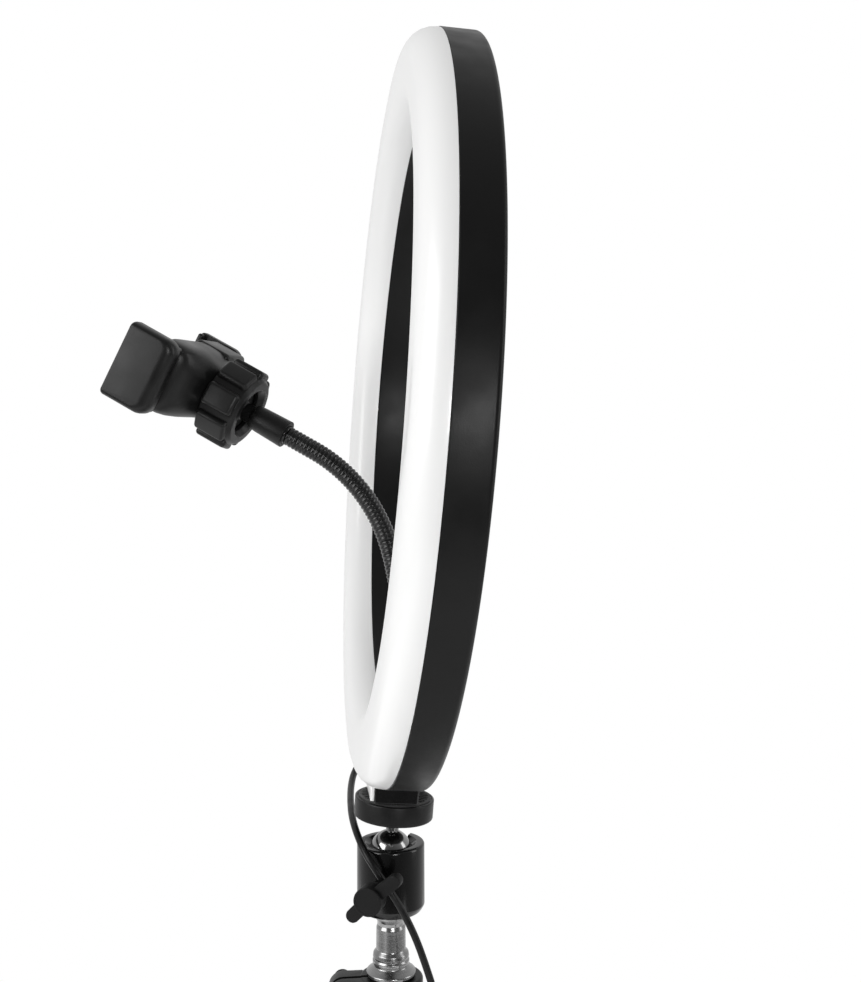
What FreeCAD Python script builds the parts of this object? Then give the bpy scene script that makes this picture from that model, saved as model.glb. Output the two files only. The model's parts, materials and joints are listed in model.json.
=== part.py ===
import FreeCAD, Part
import math
import os

# Ring light on a folding stand, in millimetres. +Z is up and the light faces -Y.
# The model is drawn about the stand's column and moved by COLUMN_Y when it is saved,
# so that the origin lies on the floor at the middle of the stand's footprint.

V = FreeCAD.Vector
X_AXIS = V(1, 0, 0)
Y_AXIS = V(0, 1, 0)
Z_AXIS = V(0, 0, 1)
ZERO = V(0, 0, 0)

# --- Driving dimensions -------------------------------------------------------------
RUN_CLEARANCE = 0.05        # radial clearance of every turning or sliding fit

# Stand
LEG_AZIMUTHS = (-90, 30, 150)
LEG_LENGTH = 320            # top pivot to the centre of the foot
LEG_RADIUS = 6
LEG_WALL = 1
LEG_SPREAD = 62             # degrees from vertical when the legs stand open
LEG_PIVOT_R = 31            # leg's top pivot, from the column's axis
LEG_RIVET_R = 2
EAR_GAP = 12.8              # between the slider's two ears at each leg
EAR_THICK = 2.2
CLIP_ALONG = 105            # leg's clip, from the top pivot
CLIP_DROP = 11.5            # strut pivot, from the leg's axis
CLIP_RADIUS = 7.3
STRUT_LENGTH = 118
HUB_PIVOT_R = 18
STRUT_HALF_DEPTH = 3.5
STRUT_WALL = 1.2
TONGUE = 4.4                # thickness of a lug that sits in a strut's channel
FORK_GAP = 4.6
RIVET_R = 1.6
FOOT_R = 10
FOOT_HEIGHT = 9             # centre of the foot above the floor

MAIN_R = 11                 # column's three tubes, each with its bore
MAIN_BORE_R = 9.8
MAIN_LENGTH = 394
MID_R = 9.5
MID_BORE_R = 8.3
MID_LENGTH = 418
TOP_R = 8.0
TOP_BORE_R = 7.0
TOP_LENGTH = 396
HUB_BELOW = 8               # main tube's lower end below the hub's pivots

COLLAR_BELOW = 26           # collar's grip on the tube that it is fixed to
COLLAR_ABOVE = 7
COLLAR_WALL = 2.2
COLLAR_GAP = 3              # between the two collars with the column down
LUG_REACH = 22.5
LUG_HALF = 6.5
LUG_BOLT_Y = -17
LUG_BOLT_DROP = 7.5         # bolt below the collar's top
LEVER_LENGTH = 11

SLIDER_R = 15
SLIDER_HALF = 11
SLIDER_KNOB_AZIMUTH = -30

# Spigot and ball head
SPIGOT_HEIGHT = 24.5        # flange's underside to the ball head
BALL_R = 7.6
BALL_ABOVE_BASE = 22        # ball's centre above the underside of the ball head
HEAD_R = 12.2
RIM_HEIGHT = 3.2
RIM_INNER_R = 9.3
NOTCH_AZIMUTH = 150
NOTCH_WIDTH = 6
KNOB_AZIMUTH = -25
KNOB_DROP = 10.5            # wing knob's axis below the ball's centre
KNOB_R = 5.15
KNOB_START = 18.6
KNOB_END = 27.4
WING_LOW = 19.6
WING_HIGH = 24.6
WINGS = [(0, 0, -7.3, -8.9, 2.4), (0.6, -1.8, 8.8, 4.3, 2.55)]     # root x, y, tip x, y and half-width
STEM_R = 2.3
STUD_R = 3.1                # 1/4 inch thread
DISC_BOTTOM = 12.9          # above the ball's centre
DISC_TOP = 20.0
DISC_R = 14
PAD_HEIGHT = 0.9
HEAD_TILT = 4.22            # the light leans back by this at rest

# Ring light
RING_R = 130
RING_INNER_R = 102.2
RING_DEPTH = 13.6
RING_FRONT_Y = -8.0         # housing's front plane, from the head's axis
RING_WALL = 1.4
RING_CENTRE = 157.9         # ring's axis above the ball's centre
DIFFUSER_DEPTH = 9.6
DIFFUSER_CORNER = 9.4
DIFFUSER_WALL = 2.0
BOARD_FRONT = 5.5           # LED board behind the housing's front plane
BOARD_THICK = 1.6
LED_RADII = (110.2, 118.8)
LEDS_PER_ROW = 40
LED_SIZE = 2.8
POST_COUNT = 8
PEG_COUNT = 6
POST_RING_R = 114.4
FOOT_HALF_WIDTH = 13
FOOT_HALF_DEPTH = 7.25
FOOT_BOTTOM = 21.0
GLAND_ANGLE = 22            # round the ring from its lowest point, towards -X
GLAND_Y = -2.4
GLAND_LENGTH = 4

# Gooseneck and phone holder
HOSE_R = 3.5
HOSE_AZIMUTH = 20           # the hose leans this far round towards -X
HOSE_BASE = 9               # height of the hex base in the ring
HOSE_STRAIGHT = 5
HOSE_BEND_1_R = 115
HOSE_BEND_1 = 20            # degrees
HOSE_BEND_2_R = 58
HOSE_BEND_2 = 46            # degrees
HOSE_END = 13
HINGE_GAP = 1.8
HOLDER_BALL_R = 6.0
SLEEVE_R = 4.8
SLEEVE_LENGTH = 13.5
STUD_REACH = 22             # end of the hose to the centre of the holder's ball
SOCKET_R = 11.0
NUT_R = 14.0
NUT_RIB_R = 15.8
JAW_OUTER = 34
JAW_THICK = 6.5
JAW_BACK = 15.5
JAW_FRONT = 35.5
JAW_HALF_HEIGHT = 14.2
PHONE_GAP = 52              # between the pads with the jaws closed

# Cord
CORD_R = 1.3
FLOOR_GAP = 0.2             # what lies loose clears the floor by this
COIL_CENTRE = (-25, 120)
COIL_MIDDLE_R = 14.3
COIL_TURNS_WIDE = 4
COIL_TURNS_HIGH = 3
CASE_CENTRE = (58, 88)
CASE_HEADING = 25
CASE_LENGTH = 62
CASE_WIDTH = 19
CASE_TOP = 11.2
CASE_RELIEF = 5
BUTTON_X = -17
ROCKER_X = 8

# --- Worked out from the above --------------------------------------------------------


def sin(degrees):
    return math.sin(math.radians(degrees))


def cos(degrees):
    return math.cos(math.radians(degrees))


SLIDER_Z = FOOT_HEIGHT + LEG_LENGTH * cos(LEG_SPREAD)
CLIP_R = LEG_PIVOT_R + CLIP_ALONG * sin(LEG_SPREAD) - CLIP_DROP * cos(LEG_SPREAD)
CLIP_Z = SLIDER_Z - CLIP_ALONG * cos(LEG_SPREAD) - CLIP_DROP * sin(LEG_SPREAD)
STRUT_SPREAD = math.degrees(math.asin((CLIP_R - HUB_PIVOT_R) / STRUT_LENGTH))
HUB_Z = CLIP_Z - STRUT_LENGTH * cos(STRUT_SPREAD)
STRUT_FOLDED = math.degrees(math.asin((LEG_PIVOT_R - CLIP_DROP - HUB_PIVOT_R) / STRUT_LENGTH))
SLIDER_TRAVEL = HUB_Z + STRUT_LENGTH * cos(STRUT_FOLDED) + CLIP_ALONG - SLIDER_Z
REACH = LEG_PIVOT_R + LEG_LENGTH * sin(LEG_SPREAD) + FOOT_R
COLUMN_Y = (REACH - (REACH - FOOT_R) * 0.5 - FOOT_R) / 2

MAIN_BOTTOM = HUB_Z - HUB_BELOW
MAIN_TOP = MAIN_BOTTOM + MAIN_LENGTH
MID_TOP = MAIN_TOP + COLLAR_ABOVE + COLLAR_GAP + COLLAR_BELOW
FLANGE_Z = MID_TOP + COLLAR_ABOVE + 0.3
BALL_Z = FLANGE_Z + SPIGOT_HEIGHT + BALL_ABOVE_BASE
HOSE_BASE_Y = RING_FRONT_Y + RING_DEPTH / 2


# --- Small building blocks --------------------------------------------------------------


def rod(radius, z0, z1, x=0, y=0):
    return Part.makeCylinder(radius, z1 - z0, V(x, y, z0))


def rod_along(radius, start, direction, length):
    return Part.makeCylinder(radius, length, start, direction)


def box(x0, x1, y0, y1, z0, z1):
    return Part.makeBox(x1 - x0, y1 - y0, z1 - z0, V(x0, y0, z0))


def lathe(profile):
    """Solid of revolution about Z from (radius, z) corners."""
    wire = Part.makePolygon([V(r, 0, z) for r, z in profile] + [V(profile[0][0], 0, profile[0][1])])
    return Part.Face(wire).revolve(ZERO, Z_AXIS, 360)


def softened(shape, radius, wanted):
    """Fillet the edges that wanted(edge) picks."""
    edges = [e for e in shape.Edges if wanted(e)]
    return shape.makeFillet(radius, edges)


def upright(edge):
    box_of = edge.BoundBox
    return box_of.XLength < 0.01 and box_of.YLength < 0.01


def prism(points, z0, z1):
    """Straight prism on a polygon in X and Y."""
    wire = Part.makePolygon([V(x, y, z0) for x, y in points] + [V(points[0][0], points[0][1], z0)])
    return Part.Face(wire).extrude(V(0, 0, z1 - z0))


def slab(half_width, reach, end_radius, thickness):
    """Flat bar along +X from the origin, round at the far end, thickness across Y, hub end square."""
    bar = box(0, reach, -thickness / 2, thickness / 2, -half_width, half_width)
    end = rod_along(end_radius, V(reach, -thickness / 2, 0), Y_AXIS, thickness)
    return bar.fuse(end).removeSplitter()


def lobed(radius, lobe_radius, lobes, height):
    """Knob head along Z with finger hollows."""
    head = rod(radius, 0, height)
    head = softened(head, 1.2, lambda e: True)
    for i in range(lobes):
        a = 360 / lobes * i
        head = head.cut(rod(lobe_radius, -1, height + 1, (radius + lobe_radius * 0.55) * cos(a),
                            (radius + lobe_radius * 0.55) * sin(a)))
    return head


def aimed(shape, direction, at):
    """Turn a shape drawn along +Z so that it points in direction, and move it to at."""
    turned = shape.copy()
    turned.Placement = FreeCAD.Placement(at, FreeCAD.Rotation(Z_AXIS, direction))
    return turned


def round_column(shape, azimuth):
    turned = shape.copy()
    turned.rotate(ZERO, Z_AXIS, azimuth)
    return turned


def lifted(shape, z):
    moved = shape.copy()
    moved.translate(V(0, 0, z))
    return moved


def on_head(shape):
    """From the light's own upright frame, with the ball's centre as origin, to its place."""
    moved = shape.copy()
    moved.rotate(ZERO, X_AXIS, -HEAD_TILT)
    moved.translate(V(0, 0, BALL_Z))
    return moved


def head_point(p):
    return V(p.x, p.y * cos(HEAD_TILT) + p.z * sin(HEAD_TILT),
             BALL_Z + p.z * cos(HEAD_TILT) - p.y * sin(HEAD_TILT))


def ring_frame(shape):
    """From a ring drawn about Z, with its front plane at z = 0 and its back at +Z, to the head."""
    moved = shape.copy()
    moved.rotate(ZERO, X_AXIS, -90)
    moved.translate(V(0, RING_FRONT_Y, RING_CENTRE))
    return moved


def save(name, *solids):
    pieces = []
    for s in solids:
        pieces += s.Solids
    shape = pieces[0] if len(pieces) == 1 else Part.makeCompound(pieces)
    shape = shape.copy()
    shape.translate(V(0, COLUMN_Y, 0))
    if not shape.isValid():
        print("NOT VALID", name)
    os.makedirs("parts", exist_ok=True)
    shape.exportStep("parts/%s.step" % name)
    saved.append(name)


saved = []


# --- Stand ------------------------------------------------------------------------------


def make_hub():
    low = MAIN_BOTTOM - 3
    high = HUB_Z + 12
    barrel = rod(14, low, high).fuse(rod(15.5, low, low + 4))
    for azimuth in LEG_AZIMUTHS:
        lug = lifted(slab(3.6, HUB_PIVOT_R, 3.6, TONGUE), HUB_Z)
        barrel = barrel.fuse(round_column(lug, azimuth))
    hub = barrel.cut(rod(MAIN_R, MAIN_BOTTOM, high + 1))
    for azimuth in LEG_AZIMUTHS:
        hole = rod_along(RIVET_R + RUN_CLEARANCE, V(HUB_PIVOT_R, -5, HUB_Z), Y_AXIS, 10)
        hub = hub.cut(round_column(hole, azimuth))
    return hub.removeSplitter()


def make_tube(outer, bore, low, high):
    return rod(outer, low, high).cut(rod(bore, low - 1, high + 1))


def make_bush(tube_bore, run_bore, tube_low):
    """Plug in a tube's lower end, with a ring that runs in the next tube's bore."""
    bush = rod(tube_bore, tube_low - 1, tube_low + 12).fuse(rod(run_bore - RUN_CLEARANCE, tube_low - 8, tube_low))
    return bush.cut(rod(4.5, tube_low - 9, tube_low + 13)).removeSplitter()


def make_slider():
    barrel = softened(rod(SLIDER_R, SLIDER_Z - SLIDER_HALF, SLIDER_Z + SLIDER_HALF), 1, lambda e: True)
    for azimuth in LEG_AZIMUTHS:
        fork = slab(5.4, LEG_PIVOT_R, 5.4, EAR_GAP + 2 * EAR_THICK)
        gap = box(SLIDER_R + 1.5, LEG_PIVOT_R + 9, -EAR_GAP / 2, EAR_GAP / 2, -9, 9)
        fork = lifted(fork.cut(gap), SLIDER_Z)
        barrel = barrel.fuse(round_column(fork, azimuth))
    boss = aimed(rod(6.2, 0, 19), X_AXIS, V(0, 0, SLIDER_Z))
    barrel = barrel.fuse(round_column(boss, SLIDER_KNOB_AZIMUTH))
    slider = barrel.cut(rod(MAIN_R + RUN_CLEARANCE, SLIDER_Z - 20, SLIDER_Z + 20))
    bolt_hole = aimed(rod(3 + RUN_CLEARANCE, 0, 25), X_AXIS, V(0, 0, SLIDER_Z))
    slider = slider.cut(round_column(bolt_hole, SLIDER_KNOB_AZIMUTH))
    for azimuth in LEG_AZIMUTHS:
        hole = rod_along(LEG_RIVET_R, V(LEG_PIVOT_R, -20, SLIDER_Z), Y_AXIS, 40)
        slider = slider.cut(round_column(hole, azimuth))
    return slider


def make_ear_rivets():
    """Rivet ends in the slider's ears, flush inside the gap."""
    rivets = []
    inner = EAR_GAP / 2
    outer = inner + EAR_THICK
    for azimuth in LEG_AZIMUTHS:
        for side in (-1, 1):
            shank = rod_along(LEG_RIVET_R, V(LEG_PIVOT_R, side * inner, SLIDER_Z), V(0, side, 0), outer - inner)
            head = rod_along(3.4, V(LEG_PIVOT_R, side * outer, SLIDER_Z), V(0, side, 0), 1.2)
            rivets.append(round_column(shank.fuse(head), azimuth))
    return rivets


def make_slider_knob():
    bolt = rod(3, MAIN_R + 0.4, 22)
    knob = bolt.fuse(lifted(lobed(12, 4, 6, 11), 22))
    return round_column(aimed(knob, X_AXIS, V(0, 0, SLIDER_Z)), SLIDER_KNOB_AZIMUTH)


def leg_frame(shape, azimuth):
    """From a leg drawn along +Z from its top pivot, with the strut's side at -X, to its place."""
    moved = shape.copy()
    moved.rotate(ZERO, Y_AXIS, 180 - LEG_SPREAD)
    moved.translate(V(LEG_PIVOT_R, 0, SLIDER_Z))
    return round_column(moved, azimuth)


def make_leg():
    """Round tube with a domed plug at its top, drilled for the rivet."""
    tube = rod(LEG_RADIUS, 0, LEG_LENGTH - 4).cut(rod(LEG_RADIUS - LEG_WALL, 12, LEG_LENGTH))
    leg = tube.fuse(Part.makeSphere(LEG_RADIUS))
    return leg.cut(rod_along(LEG_RIVET_R + 0.3, V(0, -9, 0), Y_AXIS, 18))


def make_clip():
    """Pressed clip round the leg, with a tongue for the strut."""
    band = rod(CLIP_RADIUS, CLIP_ALONG - 7, CLIP_ALONG + 7)
    ear = box(-CLIP_DROP, 0, -TONGUE / 2, TONGUE / 2, CLIP_ALONG - 3.5, CLIP_ALONG + 3.5)
    end = rod_along(3.5, V(-CLIP_DROP, -TONGUE / 2, CLIP_ALONG), Y_AXIS, TONGUE)
    clip = band.fuse(ear).fuse(end)
    clip = clip.cut(rod(LEG_RADIUS, 0, LEG_LENGTH))
    clip = clip.cut(rod_along(RIVET_R + RUN_CLEARANCE, V(-CLIP_DROP, -5, CLIP_ALONG), Y_AXIS, 10))
    return clip.removeSplitter()


def make_foot(azimuth):
    """Rubber boot on the leg's end, flat where it stands."""
    boot = Part.makeSphere(FOOT_R, V(0, 0, LEG_LENGTH)).fuse(rod(LEG_RADIUS + 1.6, LEG_LENGTH - 24, LEG_LENGTH))
    boot = boot.cut(rod(LEG_RADIUS, LEG_LENGTH - 26, LEG_LENGTH - 4))
    return leg_frame(boot, azimuth).cut(box(-400, 400, -400, 400, -20, 0))


def make_strut(azimuth):
    """Pressed channel from the hub's lug to the leg's clip, with its two rivets."""
    half_width = FORK_GAP / 2 + STRUT_WALL
    body = box(0, STRUT_LENGTH, -half_width, half_width, -STRUT_HALF_DEPTH, STRUT_HALF_DEPTH)
    for x in (0, STRUT_LENGTH):
        body = body.fuse(rod_along(STRUT_HALF_DEPTH, V(x, -half_width, 0), Y_AXIS, 2 * half_width))
    trough = box(-9, STRUT_LENGTH + 9, -FORK_GAP / 2, FORK_GAP / 2,
                 -STRUT_HALF_DEPTH + STRUT_WALL, STRUT_HALF_DEPTH + 1)
    body = body.cut(trough)
    for x0, x1 in ((-9, 9), (STRUT_LENGTH - 9, STRUT_LENGTH + 9)):
        body = body.cut(box(x0, x1, -FORK_GAP / 2, FORK_GAP / 2, -9, 9))
    rivets = []
    for x in (0, STRUT_LENGTH):
        body = body.cut(rod_along(RIVET_R, V(x, -9, 0), Y_AXIS, 18))
        rivet = rod_along(RIVET_R, V(x, -half_width, 0), Y_AXIS, 2 * half_width)
        rivet = rivet.fuse(rod_along(2.8, V(x, half_width, 0), Y_AXIS, 1))
        rivet = rivet.fuse(rod_along(2.8, V(x, -half_width - 1, 0), Y_AXIS, 1))
        rivets.append(rivet)
    pieces = []
    for piece in [body.removeSplitter()] + rivets:
        piece.rotate(ZERO, Y_AXIS, STRUT_SPREAD - 90)
        piece.translate(V(HUB_PIVOT_R, 0, HUB_Z))
        pieces.append(round_column(piece, azimuth))
    return pieces


def make_collar(fixed_r, run_r, tube_top):
    """Clamp collar, fixed on one tube and split where it grips the next, with a lug at the front."""
    low = tube_top - COLLAR_BELOW
    top = tube_top + COLLAR_ABOVE
    barrel = softened(rod(fixed_r + COLLAR_WALL, low, top), 0.8, lambda e: e.BoundBox.ZMin > top - 0.1)
    lug = box(-LUG_HALF, LUG_HALF, -LUG_REACH, -run_r - 1, top - 18, top - 0.2)
    lug = softened(lug, 5, lambda e: e.BoundBox.YMax < -LUG_REACH + 0.1 and e.BoundBox.XLength > 2)
    collar = barrel.fuse(lug)
    collar = collar.cut(rod(run_r + RUN_CLEARANCE, low - 1, top + 1))
    collar = collar.cut(rod(fixed_r, low - 1, tube_top))
    collar = collar.cut(box(-0.8, 0.8, -LUG_REACH - 1, -run_r + 1, top - 19, top + 1))
    bolt_z = top - LUG_BOLT_DROP
    collar = collar.cut(rod_along(2.5 + RUN_CLEARANCE, V(-10, LUG_BOLT_Y, bolt_z), X_AXIS, 20))
    return collar.cut(aimed(hexagon(4.1, 0, 3.2), X_AXIS, V(LUG_HALF - 2.2, LUG_BOLT_Y, bolt_z)))


def hexagon(apothem, z0, z1):
    corner = apothem / cos(30)
    return prism([(corner * cos(60 * i), corner * sin(60 * i)) for i in range(6)], z0, z1)


def make_collar_knob(tube_top):
    """Bolt through the lug, with a short lever at its far side that hangs down at rest."""
    bolt_z = tube_top + COLLAR_ABOVE - LUG_BOLT_DROP
    near = LUG_HALF + 7.1
    far = near + 3.2
    lever = rod(3.2, near, far).fuse(rod(3.7, near, far, -LEVER_LENGTH, 0)).fuse(box(-LEVER_LENGTH, 0, -3.2, 3.2, near, far))
    lever = softened(lever.removeSplitter(), 0.6, lambda e: not upright(e))
    knob = rod(2.5, -LUG_HALF - 0.5, near + 1).fuse(rod(3.1, LUG_HALF + 0.5, near + 0.5)).fuse(lever)
    return aimed(knob, V(-1, 0, 0), V(0, LUG_BOLT_Y, bolt_z))


def make_collar_nut(tube_top):
    """Hexagon nut in the lug's pocket."""
    bolt_z = tube_top + COLLAR_ABOVE - LUG_BOLT_DROP
    nut = hexagon(4.0, 0, 2.1).cut(rod(2.5 + RUN_CLEARANCE, -1, 6))
    return aimed(nut, X_AXIS, V(LUG_HALF - 2.1, LUG_BOLT_Y, bolt_z))


def make_spigot():
    f = FLANGE_Z
    profile = [(0, f - 26), (TOP_BORE_R, f - 26), (TOP_BORE_R, f), (8.4, f), (8.9, f + 0.6), (8.9, f + 1.7),
               (8.2, f + 2.6), (6.9, f + 3.3), (6.1, f + 4.2), (6.4, f + 5.0), (6.4, f + 6.0), (5.9, f + 6.5),
               (6.2, f + 7.0), (6.2, f + 7.9), (5.0, f + 9.2), (5.0, f + 18.4), (4.3, f + 19.0),
               (4.3, f + 21.0), (5.6, f + 22.0), (5.8, f + 22.4), (5.8, f + SPIGOT_HEIGHT),
               (STUD_R, f + SPIGOT_HEIGHT), (STUD_R, f + SPIGOT_HEIGHT + 6), (0, f + SPIGOT_HEIGHT + 6)]
    return lathe(profile)


# --- Ball head --------------------------------------------------------------------------


def make_ball_head():
    b = BALL_Z
    low = b - BALL_ABOVE_BASE
    outer = lathe([(0, low), (HEAD_R - 2, low), (HEAD_R - 0.6, low + 0.6), (HEAD_R, low + 2),
                   (HEAD_R, b + RIM_HEIGHT - 0.9), (HEAD_R - 0.8, b + RIM_HEIGHT), (RIM_INNER_R, b + RIM_HEIGHT),
                   (7.35, b + 1.7), (0, b + 1.7)])
    body = outer.cut(Part.makeSphere(BALL_R + RUN_CLEARANCE, V(0, 0, b)))
    body = body.cut(rod(BALL_R + 0.1, b - 14.2, b))
    body = body.cut(rod(STUD_R, low - 1, low + 6.4))
    notch = box(3, 20, -NOTCH_WIDTH / 2, NOTCH_WIDTH / 2, b - 1, b + 20)
    body = body.cut(round_column(notch, NOTCH_AZIMUTH))
    hole = aimed(rod(2.4 + RUN_CLEARANCE, 4, 20), X_AXIS, V(0, 0, b - KNOB_DROP))
    return body.cut(round_column(hole, KNOB_AZIMUTH))


def make_ball_cup():
    b = BALL_Z
    cup = rod(BALL_R + RUN_CLEARANCE, b - 14, b - 3.5)
    cup = softened(cup, 0.8, lambda e: e.BoundBox.ZMax < b - 13)
    return cup.cut(Part.makeSphere(BALL_R + RUN_CLEARANCE, V(0, 0, b)))


def wing(x0, y0, x1, y1, half):
    """Flat plate with round ends, from one point to the other."""
    length = math.hypot(x1 - x0, y1 - y0)
    plate = box(0, length, -half, half, WING_LOW, WING_HIGH)
    plate = plate.fuse(rod(half, WING_LOW, WING_HIGH)).fuse(rod(half, WING_LOW, WING_HIGH, length, 0)).removeSplitter()
    plate = softened(plate, 0.6, lambda e: not upright(e))
    plate.rotate(ZERO, Z_AXIS, math.degrees(math.atan2(y1 - y0, x1 - x0)))
    plate.translate(V(x0, y0, 0))
    return plate


def make_wing_knob():
    """Screw, hub and two wings, drawn along Z from the ball head's axis."""
    knob = rod(2.4, BALL_R + 0.6, KNOB_START).fuse(rod(3.3, HEAD_R + 0.6, KNOB_START + 0.5))
    knob = knob.fuse(softened(rod(KNOB_R, KNOB_START, KNOB_END), 0.5, lambda e: True))
    for one in WINGS:
        knob = knob.fuse(wing(*one))
    knob.rotate(ZERO, Z_AXIS, 90)
    knob.rotate(ZERO, Y_AXIS, 90)
    knob.translate(V(0, 0, BALL_Z - KNOB_DROP))
    return round_column(knob, KNOB_AZIMUTH)


def make_ball_stem():
    ball = Part.makeSphere(BALL_R)
    stem = rod(STEM_R, 5, DISC_BOTTOM + 0.5)
    stem = stem.cut(box(-4, 4, 2, 4, 9, DISC_BOTTOM + 0.5)).cut(box(-4, 4, -4, -2, 9, DISC_BOTTOM + 0.5))
    stud = rod(STUD_R, DISC_BOTTOM + 0.5, FOOT_BOTTOM + 6)
    return on_head(ball.fuse(stem).fuse(stud))


def make_disc():
    disc = rod(DISC_R, DISC_BOTTOM, DISC_TOP)
    disc = softened(disc, 0.6, lambda e: True)
    return on_head(disc.cut(rod(STUD_R + RUN_CLEARANCE, 0, 40)))


def make_pad():
    """Rubber ring on the disc, with a raised grip pattern."""
    pad = rod(DISC_R - 0.9, DISC_TOP, DISC_TOP + PAD_HEIGHT - 0.3)
    for i in range(16):
        rib = box(6.5, DISC_R - 1.8, -0.55, 0.55, DISC_TOP, DISC_TOP + PAD_HEIGHT)
        pad = pad.fuse(round_column(rib, 22.5 * i + 8))
    return on_head(pad.cut(rod(5, 0, 40)))


# --- Ring light -------------------------------------------------------------------------


def ring_section(outer, inner, z0, z1):
    return rod(outer, z0, z1).cut(rod(inner, z0 - 1, z1 + 1))


def make_housing():
    """Channel ring, open to the front, with posts for the board and holes for the screws."""
    shell = ring_section(RING_R, RING_INNER_R, 0, RING_DEPTH)
    shell = softened(shell, 1.6, lambda e: e.BoundBox.ZMin > RING_DEPTH - 0.1)
    hollow = ring_section(RING_R - RING_WALL, RING_INNER_R + RING_WALL, -1, RING_DEPTH - RING_WALL)
    shell = shell.cut(hollow)
    for i in range(POST_COUNT):
        a = 360 / POST_COUNT * (i + 0.25)
        x, y = POST_RING_R * cos(a), POST_RING_R * sin(a)
        post = rod(3, BOARD_FRONT + BOARD_THICK, RING_DEPTH - RING_WALL, x, y)
        shell = shell.fuse(post.cut(rod(1.1, 0, RING_DEPTH - RING_WALL - 0.4, x, y)))
    for i in range(PEG_COUNT):
        a = 360 / PEG_COUNT * (i + 0.5)
        x, y = POST_RING_R * cos(a), POST_RING_R * sin(a)
        shell = shell.cut(rod(1.4, 0, RING_DEPTH + 1, x, y))
        shell = shell.cut(rod(2.6, RING_DEPTH - 0.7, RING_DEPTH + 1, x, y))
    shell = ring_frame(shell)
    foot_hole = rod(1.3, FOOT_BOTTOM, FOOT_BOTTOM + 12, 9, 0).fuse(rod(1.3, FOOT_BOTTOM, FOOT_BOTTOM + 12, -9, 0))
    shell = shell.cut(foot_hole)
    shell = shell.cut(gland_bore(2.6))
    stud_hole = rod(3.0, RING_CENTRE - RING_INNER_R - 5, RING_CENTRE - RING_INNER_R + 3, 0, HOSE_BASE_Y)
    return on_head(shell.cut(stud_hole))


def gland_bore(radius):
    """Hole through the ring's outer wall where the cord leaves."""
    start, direction = cord_exit()
    return rod_along(radius, start - direction * 8, direction, 16)


def diffuser_profile(inset):
    """Half-round front of the diffuser as (radius, z) wire corners and arcs, closed along z = 0."""
    r0, r1 = RING_INNER_R + inset, RING_R - 0.2 - inset
    front = -DIFFUSER_DEPTH + inset
    c = DIFFUSER_CORNER - inset
    s = c * (1 - math.sqrt(0.5))
    edges = [Part.LineSegment(V(r0, 0, 0), V(r0, 0, front + c)).toShape(),
             Part.Arc(V(r0, 0, front + c), V(r0 + s, 0, front + s), V(r0 + c, 0, front)).toShape(),
             Part.LineSegment(V(r0 + c, 0, front), V(r1 - c, 0, front)).toShape(),
             Part.Arc(V(r1 - c, 0, front), V(r1 - s, 0, front + s), V(r1, 0, front + c)).toShape(),
             Part.LineSegment(V(r1, 0, front + c), V(r1, 0, 0)).toShape(),
             Part.LineSegment(V(r1, 0, 0), V(r0, 0, 0)).toShape()]
    return Part.Face(Part.Wire(edges))


def make_diffuser():
    """Opal cover with a lip inside the housing and pegs for the rear screws."""
    cover = diffuser_profile(0).revolve(ZERO, Z_AXIS, 360)
    hollow = diffuser_profile(DIFFUSER_WALL).revolve(ZERO, Z_AXIS, 360)
    cover = cover.cut(hollow)
    for outer in (True, False):
        edge = RING_R - RING_WALL - 0.1 if outer else RING_INNER_R + RING_WALL + 1.5
        cover = cover.fuse(ring_section(edge, edge - 1.4, -2, 2.4))
    for i in range(PEG_COUNT):
        a = 360 / PEG_COUNT * (i + 0.5)
        x, y = POST_RING_R * cos(a), POST_RING_R * sin(a)
        peg = rod(2.6, -DIFFUSER_DEPTH + 1, RING_DEPTH - RING_WALL, x, y)
        cover = cover.fuse(peg.cut(rod(1.1, 2, RING_DEPTH, x, y)))
    return on_head(ring_frame(cover))


def make_board():
    board = ring_section(126, 105.6, BOARD_FRONT, BOARD_FRONT + BOARD_THICK)
    for i in range(POST_COUNT):
        a = 360 / POST_COUNT * (i + 0.25)
        board = board.cut(rod(1.3, 0, 20, POST_RING_R * cos(a), POST_RING_R * sin(a)))
    for i in range(PEG_COUNT):
        a = 360 / PEG_COUNT * (i + 0.5)
        board = board.cut(rod(3.1, 0, 20, POST_RING_R * cos(a), POST_RING_R * sin(a)))
    return on_head(ring_frame(board))


def make_leds():
    """Two rows of chips on the front of the board."""
    chips = []
    half = LED_SIZE / 2
    for row, radius in enumerate(LED_RADII):
        for i in range(LEDS_PER_ROW):
            a = 360 / LEDS_PER_ROW * (i + 0.5 * row)
            chip = box(radius - half, radius + half, -half, half, BOARD_FRONT - 0.8, BOARD_FRONT)
            chips.append(on_head(ring_frame(round_column(chip, a))))
    return chips


def make_housing_screws():
    """Board screws from the front and cover screws from the back, all alike."""
    screws = []
    for i in range(POST_COUNT):
        a = 360 / POST_COUNT * (i + 0.25)
        x, y = POST_RING_R * cos(a), POST_RING_R * sin(a)
        screw = rod(1.1, BOARD_FRONT, BOARD_FRONT + 5.6, x, y).fuse(rod(2.2, BOARD_FRONT - 1.2, BOARD_FRONT, x, y))
        screws.append(on_head(ring_frame(screw)))
    for i in range(PEG_COUNT):
        a = 360 / PEG_COUNT * (i + 0.5)
        x, y = POST_RING_R * cos(a), POST_RING_R * sin(a)
        screw = rod(1.1, RING_DEPTH - 7, RING_DEPTH - 0.7, x, y).fuse(
            rod(2.4, RING_DEPTH - 0.7, RING_DEPTH + 0.2, x, y))
        slot = box(x - 1.5, x + 1.5, y - 0.25, y + 0.25, RING_DEPTH - 0.3, RING_DEPTH + 1)
        cross = box(x - 0.25, x + 0.25, y - 1.5, y + 1.5, RING_DEPTH - 0.3, RING_DEPTH + 1)
        screws.append(on_head(ring_frame(screw.cut(slot).cut(cross))))
    return screws


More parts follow.
